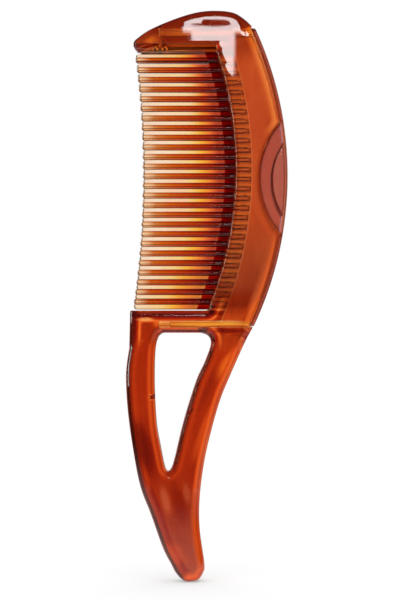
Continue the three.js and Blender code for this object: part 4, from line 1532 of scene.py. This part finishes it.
@dataclass
class ToothCartridge:
    """The sliding cartridge: two tooth plates, the spine strip with its lugs, the pads and the runners."""

    plan: CombPlan
    sink: float = 1.0
    sides: int = 48
    apart: float = 0.03
    runner_edge: float = 0.2
    strip_fill: float = 0.22
    lug_margin: float = 1.0
    draft: float = 0.06

    def build(self) -> list[bpy.types.Object]:
        """Models the cartridge's pieces and dresses them.

        Returns:
            The pieces.
        """
        amber, moon = GRIP_AMBER.material(), PAD_AMBER.material()
        pieces = []
        for side, name, row in ((-1, "front", FRONT_TOOTH_SHADED_HONEY), (1, "rear", REAR_TOOTH_LIT_HONEY)):
            honey = row.material()
            plate = self.plate(side, f"{name}_tooth_row")
            pieces.append(dress(plate, "cartridge", honey, "tooth_honey", f"{name}_tooth_plate"))
            pad = self.thumb_pad(side, f"{name}_thumb_moon")
            pieces.append(dress(pad, "cartridge", moon, "grip_amber", f"{name}_thumb_pad"))
        pieces.append(dress(self.grip(), "cartridge", amber, "grip_amber", "spine_grip"))
        rail = RUNNER_HONEY.material()
        for node in ("upper_runner", "lower_runner"):
            pieces.append(dress(self.runner(node), "cartridge", rail, "tooth_honey", node))
        return pieces

    def plate(self, side: int, name: str) -> bpy.types.Object:
        """One plate with its row of teeth.

        Args:
            side: -1 for the front plate and 1 for the rear one.
            name: Name of the piece.

        Returns:
            The plate.
        """
        plan = self.plan
        low, high = plan.plate_bottom + self.apart, plan.plate_top - self.apart
        outline = Outline(step=1.2, ease=0.4)
        outline.draw(plan.lip.walk(low, high, plan.guide_inside + plan.fit_gap), EdgeRound.CRISP)
        outline.draw(plan.spine.walk(high, low, -plan.strip_width - plan.fit_gap), EdgeRound.CRISP)
        sheet = PlanSheet([outline], [], 4.0)
        face = plan.plate_half - sheet.lowering
        plate = as_object(sheet.solid(side * face, np.full(len(face), side * self.apart)), name)
        bm = bmesh.new()
        for z in plan.row_heights(side > 0):
            self.add_tooth(bm, side * plan.row_y, z)
        return fused(plate, as_object(closed(bm, WELD), f"{name}_teeth"))

    def add_tooth(self, bm: bmesh.types.BMesh, y: float, z: float) -> None:
        """Spins one tapered tooth with a round tip into a mesh."""
        plan = self.plan
        root_x = plan.lip.x_at(z, plan.guide_inside + plan.fit_gap) + self.sink
        tip_x = plan.tips.x_at(z)
        root, tip = plan.tooth_root / 2, plan.tooth_tip / 2
        profile = [(root_x, 0.0), (root_x, root)]
        for turn in np.radians(np.linspace(90, 0, 7)):
            profile.append((tip_x + tip - tip * math.cos(turn), tip * math.sin(turn)))
        verts = [bm.verts.new((x * MM, y * MM, (z + r) * MM)) for x, r in profile]
        edges = [bm.edges.new(pair) for pair in zip(verts, verts[1:])]
        bmesh.ops.spin(
            bm, geom=[*verts, *edges], cent=(0, y * MM, z * MM), axis=(1, 0, 0), angle=2 * math.pi,
            steps=self.sides, use_merge=True,
        )

    def strip_x(self, z: float) -> float:
        """X of the spine strip's inner edge, round the lugs."""
        plan = self.plan
        notch, low, high = plan.notch
        strip = plan.spine.x_at(z, -plan.strip_width - self.strip_fill)
        shrunk = notch.x_at(z, self.strip_fill - plan.fit_gap)
        return min(strip, shrunk) if low + plan.fit_gap < z < high - plan.fit_gap else strip

    def recess(self, grow: float) -> Loop:
        """Line of the finger recess."""
        notch, low, high = self.plan.notch
        far = self.plan.spine_x[1] + self.plan.wall
        return [*notch.walk(low - grow, high + grow, grow, 40), (far, high + grow), (far, low - grow)]

    def lug(self, grow: float) -> Loop:
        """Line of the lugs, inwards of the strip."""
        plan = self.plan
        notch, low, high = plan.notch
        low, high, left = low - self.lug_margin, high + self.lug_margin, notch.x - notch.radius - plan.wall
        return [*plan.spine.walk(low, high, -plan.strip_width + grow), (left, high), (left, low)]

    def grip(self) -> bpy.types.Object:
        """The strip along the spine, with a lug on each side that fills the finger notch below the face."""
        plan = self.plan
        outline = Outline(step=0.5, ease=0.3, blend=0.6)
        heights = np.linspace(plan.strip_bottom, plan.strip_top, 320)
        outline.draw([(self.strip_x(z), float(z)) for z in heights], EdgeRound.CRISP)
        outline.draw(plan.spine.walk(plan.strip_top, plan.strip_bottom, 0.0, 240), EdgeRound.SPINE)
        cuts = [line(grow) for line in (self.recess, self.lug) for grow in (-self.draft, self.draft)]
        sheet = PlanSheet([outline], cuts, 2.0)
        recessed, in_lug = (inside(sheet.points, np.array(line(0.0))) for line in (self.recess, self.lug))
        face = plan.face_y - sheet.lowering
        face = np.where(recessed, np.minimum(face, plan.lug_face_y), face)
        bm = sheet.solid(-face, np.where(in_lug, -plan.cavity_half, 0.0))
        middle = [f for f in bm.faces if all(abs(v.co.y) < FINE_WELD for v in f.verts)]
        bmesh.ops.delete(bm, geom=middle, context="FACES")
        both = [*bm.verts, *bm.edges, *bm.faces]
        bmesh.ops.mirror(bm, geom=both, matrix=Matrix(), merge_dist=WELD, axis="Y")
        return as_object(closed(bm, FINE_WELD), "spine_strip")

    def thumb_pad(self, side: int, name: str) -> bpy.types.Object:
        """The raised half-moon on one lug.

        Args:
            side: -1 for the front pad and 1 for the rear one.
            name: Name of the piece.

        Returns:
            The pad.
        """
        plan = self.plan
        arc, low, high = plan.pad
        outline = Outline(step=0.5, ease=0.5)
        outline.draw(arc.walk(low, high), EdgeRound.PAD)
        outline.draw(plan.spine.walk(high, low, -plan.pad_rim)[1:-1], EdgeRound.PAD)
        sheet = PlanSheet([outline], [], 1.5)
        face = plan.lug_face_y + plan.pad_rise - sheet.lowering
        base = np.full(len(face), side * (plan.lug_face_y + self.apart))
        return as_object(sheet.solid(side * face, base), name)

    def runner(self, node: str) -> bpy.types.Object:
        """A runner with rounded edges, from a merged copy of its CAD solid.

        Args:
            node: Name of the CAD node.

        Returns:
            The runner.
        """
        bm = bmesh.new()
        bm.from_mesh(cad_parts[node].data)
        bmesh.ops.remove_doubles(bm, verts=bm.verts[:], dist=WELD)
        bmesh.ops.dissolve_limit(bm, angle_limit=math.radians(1), verts=bm.verts[:], edges=bm.edges[:])
        bmesh.ops.bevel(
            bm, geom=bm.edges[:], offset=self.runner_edge * MM, affect="EDGES", segments=3, profile=0.5,
            material=-1, clamp_overlap=True,
        )
        return as_object(bm, f"{node}_rail")


def dress(
    piece: bpy.types.Object, body: str, finish: bpy.types.Material, slot: str, *nodes: str
) -> bpy.types.Object:
    """Gives a piece its material and body, and hides the CAD nodes that it stands for.

    Args:
        piece: The piece.
        body: CAD body that it moves with.
        finish: Its material.
        slot: Name of a material slot; not used.
        nodes: CAD nodes that it replaces.

    Returns:
        The piece.
    """
    piece.data.materials.clear()
    piece.data.materials.append(finish)
    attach(piece, body)
    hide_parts(*nodes)
    return piece


@dataclass(frozen=True)
class BoxWindow:
    """A soft box on the camera's side, as the cap mirrors it: a stem under a broad top with a hole.

    Its places are slopes, sideways and up, over the distance towards the camera.
    """

    stem_sides: tuple[float, float] = (-0.0046, 0.0184)
    stem_low: float = 0.1218
    top_sides: tuple[float, float] = (-0.0091, 0.0276)
    top_spread: tuple[float, float] = (-0.28, 0.5)
    top_low: float = 0.1455
    top_high: float = 0.25
    hole: tuple[float, float] = (0.0060, 0.1505)
    hole_reach: tuple[float, float] = (0.0110, 0.0021)
    hole_edge: tuple[float, float] = (0.8, 1.2)
    ahead_least: float = 0.02
    soft: float = 0.0012
    strength: float = 15.0

    def between(self, graph: Graph, value: Wire, low: object, high: object) -> Wire:
        """1 where a value lies between two others, with soft ends."""
        rising = graph.step(value - low, -self.soft, self.soft)
        return rising * (1 - graph.step(value - high, -self.soft, self.soft))

    def mirrored(self, graph: Graph, x: Wire, y: Wire, z: Wire) -> Wire:
        """How bright the box is in a direction.

        Args:
            graph: Graph of the world.
            x: Sideways part of the direction.
            y: Part away from the camera.
            z: Upward part.

        Returns:
            The brightness.
        """
        ahead = 0.0 - y
        side, up = x / ahead, z / ahead
        rise = up - self.top_low
        left, right = (rise * spread + start for spread, start in zip(self.top_spread, self.top_sides))
        stem = self.between(graph, up, self.stem_low, self.top_low)
        stem *= self.between(graph, side, *self.stem_sides)
        top = self.between(graph, up, self.top_low, self.top_high) * self.between(graph, side, left, right)
        hole = zip((side, up), self.hole, self.hole_reach)
        across, along = ((slope - at) * (1 / reach) for slope, at, reach in hole)
        clear = graph.step(across * across + along * along, *self.hole_edge)
        return (stem + top) * clear * graph.step(ahead, 0.0, self.ahead_least) * self.strength


@dataclass
class Studio:
    """White floor and surroundings, a soft box on the left and the camera at the photograph's place."""

    image_height: float = 601.0
    mm_per_pixel: float = 0.352
    camera_distance: float = 650.0
    camera_x: float = -2.18
    camera_z: float = 98.7
    sensor: float = 36.0
    floor_size: float = 6.0
    floor_close: tuple[float, float] = (0.02, 0.07)
    floor_far: tuple[float, float] = (0.06, 0.25)
    floor_glow: float = 0.26
    paper: float = 0.8
    room: float = 0.06
    behind: tuple[float, float] = (0.6, 0.9)
    flag_sides: tuple[tuple[float, float], ...] = ((0.25, 0.38), (0.70, 0.85))
    flag_dark: float = 0.93
    overhead: tuple[float, float] = (0.45, 0.75)
    overhead_dark: float = 0.85
    bounces: int = 32
    mirrored_bounces: int = 12
    lamp_place: tuple[float, float, float] = (-0.80, 0.03, 0.10)
    lamp_size: tuple[float, float] = (0.25, 1.0)
    lamp_power: float = 6.0
    window: BoxWindow = BoxWindow()

    def build(self) -> None:
        """Makes the camera, the floor, the surroundings and the lamp."""
        self.camera()
        self.floor()
        self.surroundings()
        self.lamp()
        settings = bpy.context.scene.cycles
        settings.max_bounces = settings.transmission_bounces = self.bounces
        settings.glossy_bounces = self.mirrored_bounces
        bpy.context.scene.view_settings.view_transform = "Standard"

    def camera(self) -> None:
        """Puts the camera level with the middle of the comb, looking along +Y."""
        data = bpy.data.cameras.new("camera")
        data.sensor_width = self.sensor
        data.lens = self.sensor * self.camera_distance / (self.image_height * self.mm_per_pixel)
        data.clip_start = 0.01
        lens = bpy.data.objects.new("camera", data)
        lens.location = (self.camera_x * MM, -self.camera_distance * MM, self.camera_z * MM)
        lens.rotation_euler = (math.pi / 2, 0, 0)
        bpy.context.scene.collection.objects.link(lens)
        bpy.context.scene.camera = lens

    def floor(self) -> None:
        """Makes the pale floor, which keeps a faint shadow."""
        bm = bmesh.new()
        bmesh.ops.create_grid(bm, x_segments=2, y_segments=2, size=self.floor_size / 2)
        ground = as_object(bm, "floor")
        material = bpy.data.materials.new("floor_paper")
        graph = Graph(material)
        place = graph.node("ShaderNodeTexCoord", out="Object")
        reach = graph.vector("LENGTH", place, out="Value")
        close = 1 - graph.step(reach, *self.floor_close)
        shown = self.shown(graph, graph.vector("NORMALIZE", place), close)
        paper = graph.node("ShaderNodeBsdfDiffuse", {}, {"Color": (*[self.paper] * 3, 1.0)})
        glow = graph.node("ShaderNodeEmission", {}, {"Strength": shown * self.floor_glow})
        near = graph.node("ShaderNodeAddShader", {}, {0: paper, 1: glow})
        far = graph.node("ShaderNodeEmission", {}, {"Strength": shown})
        away = graph.step(reach, *self.floor_far)
        both = graph.node("ShaderNodeMixShader", {}, {0: away, 1: near, 2: far})
        graph.node("ShaderNodeOutputMaterial", {}, {"Surface": both})
        ground.data.materials.append(material)

    def shown(self, graph: Graph, towards: Wire, close: Wire | None = None) -> Wire:
        """How bright the floor or the backdrop is for each kind of ray.

        Args:
            graph: Graph of the floor or the world.
            towards: Direction from the comb.
            close: For the floor, 1 where it is close to the comb and 0 elsewhere.

        Returns:
            White for the camera and for scattered light. Rays through the plastic see the same white, with
            dark flags beside and above. Mirrored rays see the white behind the comb and close to it, and a
            dim room.
        """
        camera, scattered, through = (graph.ray(kind) for kind in ("Camera", "Diffuse", "Transmission"))
        mirrored = graph.ray("Glossy") * (1 - through)
        x, y, z = (graph.axis(towards, name) for name in "XYZ")
        start, stop = (graph.step(x / y, *side) for side in self.flag_sides)
        above = graph.step(z, *self.overhead)
        card = (1 - (start - stop) * self.flag_dark) * (1 - above * self.overhead_dark)
        white = close or graph.step(y, *self.behind)
        room = (1 - white) * self.room + self.window.mirrored(graph, x, y, z)
        return camera + scattered + through * card + mirrored * (white + room)

    def surroundings(self) -> None:
        """Makes the white surroundings."""
        world = bpy.data.worlds.new("white_surround")
        bpy.context.scene.world = world
        graph = Graph(world)
        strength = self.shown(graph, graph.node("ShaderNodeTexCoord", out="Generated"))
        back = graph.node("ShaderNodeBackground", {}, {"Color": (1.0, 1.0, 1.0, 1.0), "Strength": strength})
        graph.node("ShaderNodeOutputWorld", {}, {"Surface": back})

    def lamp(self) -> None:
        """Hangs the soft box on the left, pointing at the comb's middle."""
        data = bpy.data.lights.new("left_box", "AREA")
        data.shape, data.size, data.size_y, data.energy = "RECTANGLE", *self.lamp_size, self.lamp_power
        box = bpy.data.objects.new("left_box", data)
        box.location = self.lamp_place
        towards = Vector((0, 0, self.camera_z * MM)) - Vector(self.lamp_place)
        box.rotation_euler = towards.to_track_quat("-Z", "Y").to_euler()
        box.visible_diffuse = False
        bpy.context.scene.collection.objects.link(box)


def main() -> None:
    """Builds the comb and its studio and reports each piece."""
    logging.basicConfig(level=logging.INFO, format="%(message)s")
    plan = CombPlan()
    Studio().build()
    pieces = [*LoopFrame(plan).build(), ToothGuide(plan).build(), *ToothCartridge(plan).build()]
    for piece in pieces:
        LOG.info("%s: %d faces", piece.name, len(piece.data.polygons))


if __name__ == "__main__":
    main()
